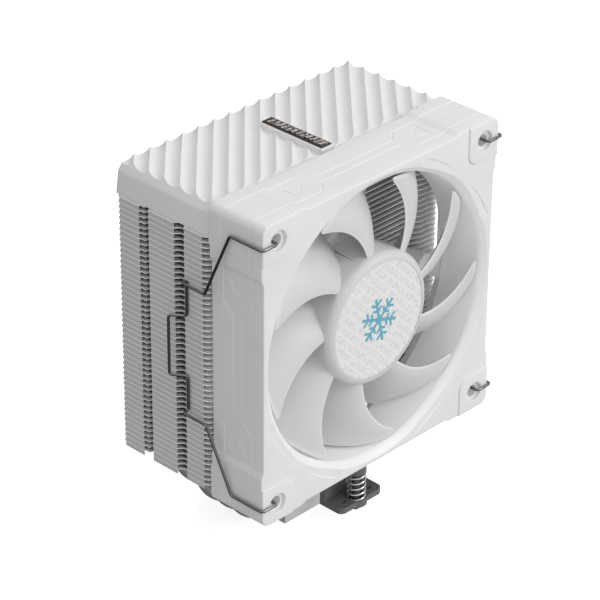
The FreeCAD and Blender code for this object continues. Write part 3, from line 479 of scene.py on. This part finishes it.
def side_points(inset=0.0):
    """One side of the fan's outline, as (along, out) pairs from the end of one corner to the next."""
    half, level = HALF - inset, PANEL - inset
    inner, outer = 37.4 - 0.2 * inset, 39.8 - 0.2 * inset
    straight, radius = HALF - CORNER, CORNER - inset
    corner = [(straight + radius * math.sin(a), straight + radius * math.cos(a)) for a in QUARTER[1:-1]]
    points = [(-straight, half), (-outer, half), (-inner, level)]
    points += [(inner, level), (outer, half), (straight, half)]
    return points + corner


def on_side(side, along, out):
    """(x, z) of a point of one of the four sides; side 0 is the top, the next is the right."""
    return ((along, out), (out, -along), (-along, -out), (-out, along))[side]


def fan_outline(inset=0.0):
    return [on_side(side, *point) for side in range(4) for point in side_points(inset)]


def softened_rings(outline, front, back, radius):
    """Rings of an outline, given by its inset, with rounded front and back edges."""
    steps = 4
    turns = [math.pi / 2 * n / steps for n in range(steps + 1)]
    levels = [(radius * (1 - math.sin(a)), front + radius * (1 - math.cos(a))) for a in turns]
    levels += [(radius * (1 - math.cos(a)), back - radius * (1 - math.sin(a))) for a in turns]
    return [[Vector((x, depth, z)) for x, z in outline(inset)] for inset, depth in levels]


def pad_outline(inset=0.0):
    """The top right pad's outline with a round inner corner; it runs on past the fan's outer sides."""
    side, corner, beyond = 15.6, 5.0, 66
    low = HALF - side + inset
    centre, radius = low + corner - inset, corner - inset
    arc = [(centre - radius * math.cos(a), centre - radius * math.sin(a)) for a in QUARTER]
    return [(low, beyond)] + arc + [(beyond, low), (beyond, beyond)]


def bore_tool():
    """What the duct takes away: a lip of two chamfers with softened edges, and the straight bore."""
    lip = [(BORE + LIP, FRONT), (BORE + LIP - 0.15, FRONT + 0.04), (BORE + 0.55, FRONT + 1.45),
           (BORE + 0.4, FRONT + 1.62), (BORE, FRONT + LIP)]
    profile = [(0, AHEAD), (BORE + LIP, AHEAD)] + lip + [(BORE, BEHIND), (0, BEHIND)]
    return lathe("bore", profile, 240)


def flare_tool():
    """The widening of the duct towards the outlet, cut off by flat walls."""
    mouth, flat, start = 59.2, 57.8, 20
    profile = [(0, start - 1), (BORE, start), (mouth, BACK), (mouth, BEHIND), (0, BEHIND)]
    cone = lathe("flare", profile, 240)
    return combine(cone, [block("flats", (-flat, 10, -flat), (flat, 40, flat))], "INTERSECT")


def groove_halves():
    """Half the width of a V groove's narrow flat root, and of its cutter's mouth above the surface."""
    root, half = 0.04, 0.32
    return root, root + (half - root) * (GROOVE_DEPTH + GROOVE_LIFT) / GROOVE_DEPTH


def line_tool(name, sign):
    """A fine V groove that runs round all four sides: apart at the corners, close in the middle."""
    root, mouth = groove_halves()
    wide, narrow, inner, outer = 6.7, 2.05, 20.0, 24.9
    slope = math.atan2(wide - narrow, outer - inner)
    mitre = math.tan(slope / 2)
    kinks = ((outer, wide), (inner, narrow))
    rings = []
    for side in range(4):
        low, high = side_points(GROOVE_DEPTH), side_points(-GROOVE_LIFT)
        path = [(low[n], high[n], wide, 0.0) for n in range(3)]
        for s, offset in [(-k[0], k[1]) for k in kinks] + [(k[0], k[1]) for k in reversed(kinks)]:
            lean = mitre if s < 0 else -mitre
            path.append(((s, PANEL - GROOVE_DEPTH), (s, PANEL + GROOVE_LIFT), offset, lean))
        path += [(low[n], high[n], wide, 0.0) for n in range(3, len(low))]
        for bottom, top, offset, lean in path:
            ring = []
            for (along, out), reach in ((bottom, -root), (bottom, root), (top, mouth), (top, -mouth)):
                y = MIDDLE + sign * (offset + reach)
                x, z = on_side(side, along + reach * lean, out)
                ring.append(Vector((x, y, z)))
            rings.append(ring)
    return band(name, rings)


def triangle_tool(name, side, sign):
    """The outline of a small triangle whose tip points at the middle of the side."""
    tip, base, spread = 28.1, 34.0, 3.5
    low, high = PANEL - GROOVE_DEPTH, PANEL + GROOVE_LIFT
    corners = [Vector((tip, 0)), Vector((base, -spread)), Vector((base, spread))]
    root, mouth = groove_halves()
    loops = []
    for grow in (root, -root, -mouth, mouth):
        loop = []
        for n, corner in enumerate(corners):
            before, after = corners[n - 1], corners[(n + 1) % 3]
            back, ahead = (before - corner).normalized(), (after - corner).normalized()
            reach = grow / math.sin(back.angle(ahead) / 2)
            loop.append(corner - (back + ahead).normalized() * reach)
        loops.append(loop)
    rings = []
    for n in range(3):
        ring = []
        for loop, out in zip(loops, (low, low, high, high)):
            point = loop[n]
            x, z = on_side(side, sign * point[0], out)
            ring.append(Vector((x, MIDDLE + point[1], z)))
        rings.append(ring)
    return band(name, rings)


def engrave(item):
    """Cuts the fine lines and the triangles into all four sides."""
    tools = [line_tool(f"line_{sign}", sign) for sign in SIDES]
    tools += [triangle_tool(f"mark_{side}_{sign}", side, sign) for side in range(4) for sign in SIDES]
    return combine(item, tools)


def crescent_tool(turn, start, end):
    """A shallow step beside the lip that is deepest near its start and runs out at both ends."""
    rings, steps = [], 14
    inner, outer, narrowing, slope, above = 56.5, 61.2, 1.4, 0.5, -1.0
    deepest, run_in, least = 0.5, 0.2, 0.001
    for n in range(steps + 1):
        share = n / steps
        angle = math.radians(turn + start + (end - start) * share)
        depth = FRONT + deepest * min(share / run_in, 1) * (1 - share ** 1.5) + least
        reach = outer - narrowing * share
        rings.append([Vector((r * math.cos(angle), y, r * math.sin(angle)))
                      for r, y in ((inner, depth), (reach - slope, depth), (reach, above), (inner, above))])
    return loft("crescent", rings)


def hole_tool(radius, sign_x, sign_z):
    """What a screw hole in one corner takes away."""
    steps = 48
    outline = [(sign_x * HOLE_AT + radius * math.cos(a), sign_z * HOLE_AT + radius * math.sin(a))
               for a in [2 * math.pi * n / steps for n in range(steps)]]
    return prism("hole", outline, AHEAD, BEHIND)


def strut_shape(number):
    """One of the five bars that carry the motor; the first is broad, because the lead runs in it."""
    width, start = (8.0, 8.0) if number == 0 else (4.2, 6.0)
    high, front, back, end = 24.1, 21.4, BACK - 0.02, 62.0
    low = high - width
    outline = [(low, back), (low, front + 0.6), (low + 0.2, front + 0.2), (low + 0.6, front),
               (high - 0.6, front), (high - 0.2, front + 0.2), (high, front + 0.6), (high, back)]
    rings = [[Vector((x, y, z)) for z, y in outline] for x in (start, end)]
    bar = loft(f"strut_{number}", rings)
    bar.data.transform(Matrix.Rotation(-math.radians(72 * number - 30), 4, "Y"))
    inside = 58.6
    return combine(bar, [block("inside", (-inside, 15, -inside), (inside, 30, inside))], "INTERSECT")


def motor_cup():
    """The cup at the middle of the struts, with the tube that holds the bearing."""
    tube_inner, tube_outer, tube_front = 3.5, 5.0, 6.5
    cup_inner, cup_outer, cup_front, floor = 24.3, 25.8, 19.3, 24.0
    profile = [(tube_inner, floor), (tube_inner, tube_front + 0.3), (tube_inner + 0.3, tube_front),
               (tube_outer - 0.3, tube_front), (tube_outer, tube_front + 0.3), (tube_outer, floor),
               (cup_inner, floor), (cup_inner, cup_front + 0.2), (cup_inner + 0.2, cup_front),
               (cup_outer - 0.4, cup_front), (cup_outer, cup_front + 0.4), (cup_outer, BACK),
               (0, BACK), (0, floor)]
    return lathe("cup", profile, 128)


def build_housing():
    """The fan's housing with its duct, struts, motor cup, screw holes and engraved sides."""
    item = loft("housing", softened_rings(fan_outline, FRONT, BACK, 0.5))
    relief = prism("relief", pad_outline(-SEAT_GAP), -5, 32)
    seat = SEAT - SEAT_GAP
    core = block("core", (0, SEAT_FRONT + SEAT_GAP, 0), (seat, SEAT_BACK - SEAT_GAP, seat))
    relief = combine(relief, [core])
    reliefs = [copy_turned(relief, 90 * n) for n in range(1, 4)] + [relief]
    holes = [hole_tool(2.4, sign_x, sign_z) for sign_x in SIDES for sign_z in SIDES]
    crescents = [crescent_tool(90 * n, *ends) for n in range(4) for ends in ((19, 42), (71, 48))]
    item = combine(item, [bore_tool(), flare_tool()] + reliefs + holes + crescents)
    item = combine(item, [strut_shape(n) for n in range(5)] + [motor_cup()], "UNION")
    lead_groove = block("groove", (12, 23.4, 17.6), (62, 30, 22.6))
    lead_groove.data.transform(Matrix.Rotation(math.radians(30), 4, "Y"))
    grommet_notch = block("notch", (56.3, 21.85, -10.45), (61, 27, -5.55))
    item = engrave(combine(item, [lead_groove, grommet_notch]))
    finish_piece(item, "fan_housing", "cooler", MATERIALS["frame_plastic"], FAN_ORIGIN,
                 ["fan_frame"])


def build_pads():
    """Four soft pads that wrap the corners of the housing."""
    pad = loft("pad", softened_rings(fan_outline, 0.0, PAD_BACK, 0.55))
    pad = combine(pad, [loft("corner", softened_rings(pad_outline, 0.0, 40, 0.45))], "INTERSECT")
    radius, rim = 3.85, 4.2
    profile = [(0, -1.0), (rim, -1.0), (rim, 0.0), (radius + 0.1, 0.12), (radius, 0.4), (radius, BEHIND),
               (0, BEHIND)]
    hole = lathe("pad_hole", profile, 64)
    hole.data.transform(Matrix.Translation((HOLE_AT, 0, HOLE_AT)))
    pad = combine(pad, [block("core", (0, SEAT_FRONT, 0), (SEAT, SEAT_BACK, SEAT)), hole])
    names = ("top_right", "top_left", "bottom_left", "bottom_right")
    for n, name in enumerate(names):
        piece = engrave(copy_turned(pad, 90 * n))
        finish_piece(piece, f"pad_{name}", "cooler", MATERIALS["pad"], FAN_ORIGIN,
                     [f"corner_pad_{name}"])
    bpy.data.objects.remove(pad)


# Rotor ----------------------------------------------------------------------------------------------

HUB_RADIUS, BLADE_ROOT, BLADE_TIP = 25.8, 26, 53.9
BLADES = 9
BLADE_STEP = 360 / BLADES
LABEL_FACE = 1.44
HUB_STEPS = 144


def leading_angle(radius):
    """The angle of a blade's leading edge, which sweeps forward towards the tip."""
    start, sweep, curl = -21.1, 0.475, 0.01505
    out = radius - BLADE_ROOT
    return start + sweep * out + curl * out ** 2


def build_blade(turn):
    """One swept blade: a thin wing, curved front to back, with round edges and round tip corners."""
    corner, trail_y, edge, count, levels = 2.2, 18.3, 0.1, 26, 26
    inner, outer = 24.6, BLADE_TIP - 2.4
    radii = [inner + (outer - inner) * n / levels for n in range(levels + 1)]
    radii += [BLADE_TIP - step for step in (1.9, 1.4, 0.95, 0.6, 0.3, 0.1, 0.0)]
    rings = []
    for radius in radii:
        lead_y = 4.25 - 0.044 * (radius - BLADE_ROOT)
        camber = 0.062 * (BLADE_ROOT / radius) ** 1.9
        chord = math.sqrt((trail_y - lead_y) / camber)
        inside = max(corner - (BLADE_TIP - radius), 0)
        cut = corner - math.sqrt(corner ** 2 - inside ** 2)
        thick = 1.0 + 0.02 * (BLADE_TIP - radius)
        front, back = [], []
        for n in range(count + 1):
            wave = (1 - math.cos(math.pi * n / count)) / 2
            behind = cut + (chord - 1.3 * cut) * wave
            angle = math.radians(leading_angle(radius) + turn) - behind / radius
            swell = thick * (0.25 + 0.75 * math.sin(math.pi * wave) ** 0.5) / 2
            if n in (0, count):
                swell = edge
            slope = math.atan(2 * camber * behind)
            shift = swell * math.sin(slope) / radius
            y = lead_y + camber * behind ** 2
            for side, points in ((-1, front), (1, back)):
                a = angle - side * shift
                points.append(Vector((radius * math.cos(a), y + side * swell * math.cos(slope),
                                      radius * math.sin(a))))
        rings.append(front + back[::-1])
    return loft("blade", rings)


def paint_edge_highlights(item):
    """Stores on each point how near it is to a blade's leading edge or tip, as the strength of the painted
    highlight there.
    """
    hub_margin, edge_width, tip_width, tip_strength = 0.5, 0.9, 1.6, 0.55
    rim = item.data.attributes.new("rim", "FLOAT", "POINT")
    for vertex, value in zip(item.data.vertices, rim.data):
        x, _, z = vertex.co
        radius = math.hypot(x, z)
        if radius < HUB_RADIUS + hub_margin:
            continue
        behind = math.degrees(math.atan2(z, x)) - leading_angle(radius)
        turn = (behind + BLADE_STEP / 2) % BLADE_STEP - BLADE_STEP / 2
        edge = 1 - abs(math.radians(turn)) * radius / edge_width
        tip = tip_strength * (1 - (BLADE_TIP - radius) / tip_width)
        # Painted highlight strength: full on the leading edge, fading over edge_width, and up to
        # tip_strength near the tip.
        value.value = min(max(edge, tip, 0), 1)


def build_rotor():
    """The hub with its rounded face and the nine blades."""
    face, dish, floor, rear, inner = 1.3, 1.62, 3.3, 18.6, 24.2
    soft, steps = 3.2, 12
    edge = [(HUB_RADIUS - soft + soft * math.sin(a), face + soft - soft * math.cos(a))
            for a in [math.pi / 2 * n / steps for n in range(steps + 1)]]
    profile = [(0, dish), (22.85, dish), (22.95, 1.35)] + edge
    profile += [(HUB_RADIUS, rear - 0.2), (HUB_RADIUS - 0.2, rear), (inner + 0.1, rear),
                (inner, rear - 0.2), (inner, floor), (0, floor)]
    hub = lathe("hub", profile, HUB_STEPS)
    blades = [build_blade(BLADE_STEP * n) for n in range(BLADES)]
    rotor = combine(hub, blades, "UNION")
    inside = lathe("inside", [(0, floor), (inner, floor), (inner, 25), (0, 25)], HUB_STEPS)
    rotor = combine(rotor, [inside])
    paint_edge_highlights(rotor)
    finish_piece(rotor, "rotor_shell", "rotor", MATERIALS["rotor_plastic"], FAN_ORIGIN,
                 ["fan_rotor"], sharp=28)


def build_label():
    """The printed label in the hub."""
    radius, back = 22.75, 1.6
    profile = [(0, LABEL_FACE), (radius - 0.15, LABEL_FACE), (radius, LABEL_FACE + 0.06), (radius, back),
               (0, back)]
    disc = lathe("label", profile, HUB_STEPS)
    finish_piece(disc, "hub_label", "rotor", MATERIALS["sticker"], FAN_ORIGIN, ["hub_sticker"])


def build_emblem():
    """The plain emblem on the label: a snow crystal with six forked arms."""
    front, back, half, fork_half = LABEL_FACE - 0.06, LABEL_FACE, 0.6, 0.5
    start, reach, core_radius, lean, arm_count = 1.0, 9.2, 1.9, 12, 6
    arms = []
    for n in range(arm_count):
        arm = block("arm", (-half, front, start), (half, back, reach))
        forks = []
        for height, length in ((3.6, 2.6), (6.0, 3.1)):
            for side in SIDES:
                fork = block("fork", (-fork_half, front, 0), (fork_half, back, length))
                fork.data.transform(Matrix.Rotation(side * math.pi / 3, 4, "Y"))
                fork.data.transform(Matrix.Translation((0, 0, height)))
                forks.append(fork)
        arm = combine(arm, forks, "UNION")
        arms.append(copy_turned(arm, 360 / arm_count * n + lean))
        bpy.data.objects.remove(arm)
    core = lathe("core", [(0, front), (core_radius, front), (core_radius, back), (0, back)], arm_count)
    mark = combine(core, arms, "UNION")
    finish_piece(mark, "hub_emblem", "rotor", MATERIALS["emblem"], FAN_ORIGIN)


# Cover ----------------------------------------------------------------------------------------------

COVER_TOP = 149.3


def cover_body():
    """The lid before its flutes are cut, bevelled at the front and the left only."""
    half, front, back, shoulder = 58.9, -21.4, 25.4, 145.5
    draft, bevel, edge, soft, near = 1.1, 2.7, 0.2, 0.5, 0.5

    def ring(left, right, near_side, far_side, z):
        return [Vector(p) for p in ((left, near_side, z), (right, near_side, z), (right, far_side, z),
                                    (left, far_side, z))]

    rings = [ring(-half, half, front, back, FIN_TOP), ring(draft - half, half, front, back, shoulder),
             ring(draft + bevel - half, half - edge, front + bevel, back - edge, COVER_TOP)]
    item = loft("cover", rings)
    shape = bmesh.new()
    shape.from_mesh(item.data)
    edges = []
    for line in shape.edges:
        low, high = sorted(vertex.co.z for vertex in line.verts)
        if high - low > near or shoulder - near < low and high < shoulder + near:
            edges.append(line)
    bmesh.ops.bevel(shape, geom=edges, offset=soft, segments=4, profile=0.5, affect="EDGES")
    bmesh.ops.recalc_face_normals(shape, faces=shape.faces)
    shape.to_mesh(item.data)
    shape.free()
    return item


def flute_tool():
    """A row of round flutes that run at 45 degrees; pitch is measured along the cover's front."""
    pitch, depth, phase, margin, reach, above = 7.78, 1.4, -20.7, 0.004, 130, 160
    first, count, steps = -14, 28, 18
    diagonal = math.sqrt(0.5)
    chord = pitch * diagonal
    radius = ((chord / 2) ** 2 + depth ** 2) / (2 * depth)
    half_angle = math.asin(chord / 2 / radius)
    scallops = []
    for n in range(count):
        centre = phase + (first + n + 0.5) * pitch
        for k in range(steps):
            a = -half_angle + 2 * half_angle * k / steps
            scallops.append((centre * diagonal + radius * math.sin(a),
                             COVER_TOP - depth + radius - radius * math.cos(a) - margin))
    outline = [(scallops[0][0], above)] + scallops + [(scallops[-1][0], above)]
    across, along = Vector((1, -1, 0)).normalized(), Vector((1, 1, 0)).normalized()
    rings = [[across * s + along * far + Vector((0, 0, z)) for s, z in outline] for far in (-reach, reach)]
    return loft("flutes", rings)


def plate_boss():
    """The raised seat of the name plate, with round corners and a soft top edge."""
    half_width, front, back, radius = 3.3, -20.7, 10.4, 0.8
    rings = []
    for inset, z in ((0, 140.5), (0, 149.95), (0.06, 150.12), (0.22, 150.2)):
        right, near, far, arc = half_width - inset, front + inset, back - inset, radius - inset
        corners = ((right - radius, far - radius, 0), (radius - right, far - radius, 90),
                   (radius - right, near + radius, 180), (right - radius, near + radius, 270))
        rings.append([Vector((x + arc * math.cos(math.radians(start + 15 * k)),
                              y + arc * math.sin(math.radians(start + 15 * k)), z))
                      for x, y, start in corners for k in range(7)])
    return loft("boss", rings)


def build_cover():
    """The lid with its flutes and the seat of its name plate, hollow underneath."""
    item = combine(cover_body(), [flute_tool()])
    item = combine(item, [plate_boss()], "UNION")
    item = combine(item, [block("cavity", (-56.0, -19.6, 130), (56.0, 23.6, 142.0))])
    finish_piece(item, "cover_shell", "cooler", MATERIALS["cover"], ROW_ORIGIN, ["top_cover"])


def build_plate_relief():
    """A plain raised pattern of slanted bars along the name plate."""
    start, pitch, count, half, lean = -18.6, 2.28, 12, 1.7, 0.55
    foot, shoulder, top, narrowing, thinning = 150.7, 151.0, 151.1, 0.82, 0.7
    bars = []
    for n in range(count):
        y = start + pitch * n
        width = 0.9 if n % 3 else 1.3
        middle = y + width / 2
        ring = [(-half, y + lean), (-half, y + lean + width), (half, y - lean + width), (half, y - lean)]
        rings = [[Vector((x, v, z)) for x, v in ring] for z in (foot, shoulder)]
        rings.append([Vector((x * narrowing, middle + (v - middle) * thinning, top)) for x, v in ring])
        bars.append(loft("bar", rings))
    item = combine(bars[0], bars[1:], "UNION")
    finish_piece(item, "plate_relief", "cooler", MATERIALS["plate_relief"], ROW_ORIGIN)


# Pipes, springs and wires ---------------------------------------------------------------------------


def build_pipes():
    """Five U-shaped tubes with domed ends; the two rear ones are narrower."""
    low, high, radius, pitch, sides = 8.2, 138.4, 3.0, 8.0, 40
    for number in range(5):
        y = (number - 2) * pitch
        leg, bend = (43.6, 21.0) if y <= 0 else (39.0, 18.0)
        route = [Vector((x, y, z)) for x, z in ((-leg, high), (-leg, low), (leg, low), (leg, high))]
        item = tube("pipe", rounded(route, bend, 20), radius, sides)
        turns = [math.pi / 2 * n / 7 for n in range(7)]
        levels = [(radius, high - 0.5)]
        levels += [(radius * math.cos(a), high + radius * math.sin(a)) for a in turns]
        for side in SIDES:
            rings = [[Vector((side * leg + r * math.cos(2 * math.pi * k / sides),
                              y + r * math.sin(2 * math.pi * k / sides), z)) for k in range(sides)]
                     for r, z in levels]
            item = combine(item, [loft("dome", rings)], "UNION")
        finish_piece(item, f"pipe_{number + 1}", "cooler", MATERIALS["pipe"], ROW_ORIGIN,
                     [f"heat_pipe_{number + 1}"], sharp=30)


def build_springs():
    """Two open coils in the cups of the crossbar's feet."""
    radius, wire, pitch, turns, foot = 3.2, 0.6, 2.35, 5.05, 9.5
    screw_y, travel = 37.0, 4.0
    steps = int(turns * 40)
    for name, y in (("front", -screw_y), ("rear", screw_y)):
        points = []
        for n in range(steps + 1):
            share = n / steps
            turn = 2 * math.pi * turns * share
            points.append(Vector((radius * math.cos(turn), y + radius * math.sin(turn),
                                  foot + wire + pitch * turns * share)))
        item = tube("coil", points, wire, 16)
        finish_piece(item, f"coil_{name}", "cooler", MATERIALS["spring"], ROW_ORIGIN,
                     [f"spring_{name}"], sharp=40)
        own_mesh(item)


def build_wire_clips():
    """The two bent wires that hold the fan, mirror images of each other."""
    hook, arm, level = 53.6, 61.0, 52.1
    reach, step, bow = 63.0, 26.4, 12.1
    upper = [(hook, 3.0, level), (hook, -0.7, level), (arm, -0.7, level), (arm, 14.7, level),
             (reach, 25.0, step), (reach, 36.5, step), (60.55, 36.5, step), (60.55, 36.5, bow),
             (64.4, 41.8, bow)]
    for name, side in (("left", -1), ("right", 1)):
        half = [Vector((side * x, y, z)) for x, y, z in upper]
        points = half + [Vector((p.x, p.y, -p.z)) for p in reversed(half)]
        item = tube("wire", rounded(points, 1.3, 8), 0.55, 20)
        finish_piece(item, f"clip_wire_{name}", f"clip_{name}", MATERIALS["wire"], FAN_ORIGIN,
                     [f"wire_clip_{name}"], sharp=40)


# Studio ---------------------------------------------------------------------------------------------

# The sky's brightness is SKY_LEVEL plus the direction's dot product with SKY_LEAN.
SKY_LEVEL, SKY_LEAN = 0.5, (0.05, -0.24, 0.18)
STAGE_REACH, STAGE_HEIGHT, STAGE_GLOW = 6.0, 6.0, 0.75
KEY_POWER, TOP_POWER = 11.2, 4.9
DUCT_POWER, BORE_POWER = 0.022, 0.023
CAMERA_PLACE = Vector((-0.6454, -0.628, 0.597))
CAMERA_AZIMUTH, CAMERA_ELEVATION, CAMERA_ROLL = -46.13, 29.85, 0.457


def stage_sheet(name, verts, faces):
    """A white sheet that only the camera sees, so that it neither lights nor shades the cooler."""
    mesh = bpy.data.meshes.new(name)
    mesh.from_pydata(verts, [], faces)
    item = bpy.data.objects.new(name, mesh)
    bpy.context.scene.collection.objects.link(item)
    surface = Surface(name, (0.9, 0.9, 0.9), 0.9, specular=0.0)
    surface.tint(surface.noise(3, 2), 0.99, 1.0)
    surface.set("Emission Color", (1, 1, 1, 1))
    surface.set("Emission Strength", STAGE_GLOW)
    mesh.materials.append(surface.material)
    item.visible_diffuse = item.visible_glossy = item.visible_shadow = False


def build_stage():
    """A wide pale floor, with a pale wall and ceiling round it."""
    far, steps = STAGE_REACH, 32
    stage_sheet("floor", [(-far, -far, 0), (far, -far, 0), (far, far, 0), (-far, far, 0)], [(0, 1, 2, 3)])
    turns = [2 * math.pi * n / steps for n in range(steps)]
    wall = [(math.cos(a) * far, math.sin(a) * far, z) for z in (0, STAGE_HEIGHT) for a in turns]
    faces = [(n, (n + 1) % steps, steps + (n + 1) % steps, steps + n) for n in range(steps)]
    stage_sheet("backdrop", wall, faces + [tuple(range(steps, 2 * steps))])


def build_sky():
    """An even white sky that is a little brighter in front and above."""
    world = bpy.data.worlds.new("studio")
    world.use_nodes = True
    nodes, links = world.node_tree.nodes, world.node_tree.links
    direction = nodes.new("ShaderNodeTexCoord").outputs["Generated"]
    lean = nodes.new("ShaderNodeVectorMath")
    lean.operation = "DOT_PRODUCT"
    links.new(direction, lean.inputs[0])
    lean.inputs[1].default_value = SKY_LEAN
    level = nodes.new("ShaderNodeMath")
    links.new(lean.outputs["Value"], level.inputs[0])
    level.inputs[1].default_value = SKY_LEVEL
    background = nodes["Background"]
    background.inputs["Color"].default_value = (1, 1, 1, 1)
    links.new(level.outputs["Value"], background.inputs["Strength"])
    bpy.context.scene.world = world
    bpy.context.scene.view_settings.view_transform = "Standard"


def area_light(name, energy, size, location, target=(0, 0, 0.08)):
    data = bpy.data.lights.new(name, "AREA")
    data.energy, data.size = energy, size
    item = bpy.data.objects.new(name, data)
    item.location = location
    item.rotation_euler = (Vector(target) - Vector(location)).to_track_quat("-Z", "Y").to_euler()
    bpy.context.scene.collection.objects.link(item)
    return item


def link_light(light, lit, blocking):
    """Makes a small light reach only some pieces, and only some pieces cast shadows in it."""
    light.visible_camera = light.visible_glossy = False
    for purpose, names in (("receiver", lit), ("blocker", blocking)):
        group = bpy.data.collections.new(f"{light.name}_{purpose}s")
        for name in names:
            group.objects.link(bpy.data.objects[name])
        setattr(light.light_linking, purpose + "_collection", group)


def build_lights():
    """A soft key light and a top light, and two small fills for the light that bounces in the duct."""
    axis_z = FAN_ORIGIN.z * MM
    area_light("key", KEY_POWER, 0.9, (0.95, -1.6, 1.15))

    duct_fill = area_light("duct_fill", DUCT_POWER, 0.108, (0, -0.0485, axis_z), (0, 0, axis_z))
    duct_fill.data.shape = "DISK"
    pipes = [item.name for item in bpy.data.objects if item.name.startswith("pipe_")]
    link_light(duct_fill, ["fin_stack"] + pipes, ["fan_housing", "fin_stack"])

    # The name plate's relief can't shade the bore. With no blocker named, every piece would cast shadows.
    bore_fill = bpy.data.objects.new("bore_fill", bpy.data.lights.new("bore_fill", "POINT"))
    bore_fill.data.energy, bore_fill.data.shadow_soft_size = BORE_POWER, 0.02
    bore_fill.location = (0, -0.037, axis_z)
    bpy.context.scene.collection.objects.link(bore_fill)
    link_light(bore_fill, ["fan_housing"], ["plate_relief"])

    area_light("top", TOP_POWER, 1.2, (0.3, 0.4, 1.9))


def build_camera():
    """A long lens from the left, in front and above."""
    azimuth, elevation = math.radians(CAMERA_AZIMUTH), math.radians(CAMERA_ELEVATION)
    roll = math.radians(CAMERA_ROLL)
    ahead = Vector((-math.sin(azimuth) * math.cos(elevation), math.cos(azimuth) * math.cos(elevation),
                    -math.sin(elevation)))
    level = Vector((math.cos(azimuth), math.sin(azimuth), 0))
    upright = level.cross(ahead)
    right = level * math.cos(roll) + upright * math.sin(roll)
    up = upright * math.cos(roll) - level * math.sin(roll)
    data = bpy.data.cameras.new("camera")
    data.lens, data.sensor_width = 170.1, 36.0
    data.clip_start, data.clip_end = 0.05, 50
    item = bpy.data.objects.new("camera", data)
    place = Matrix((right, up, -ahead)).transposed().to_4x4()
    place.translation = CAMERA_PLACE
    item.matrix_world = place
    bpy.context.scene.collection.objects.link(item)
    bpy.context.scene.camera = item


dress_cad_nodes()
build_housing()
build_pads()
build_rotor()
build_label()
build_emblem()
build_cover()
build_plate_relief()
build_pipes()
build_springs()
build_wire_clips()
build_stage()
build_sky()
build_lights()
build_camera()

bpy.context.view_layer.update()
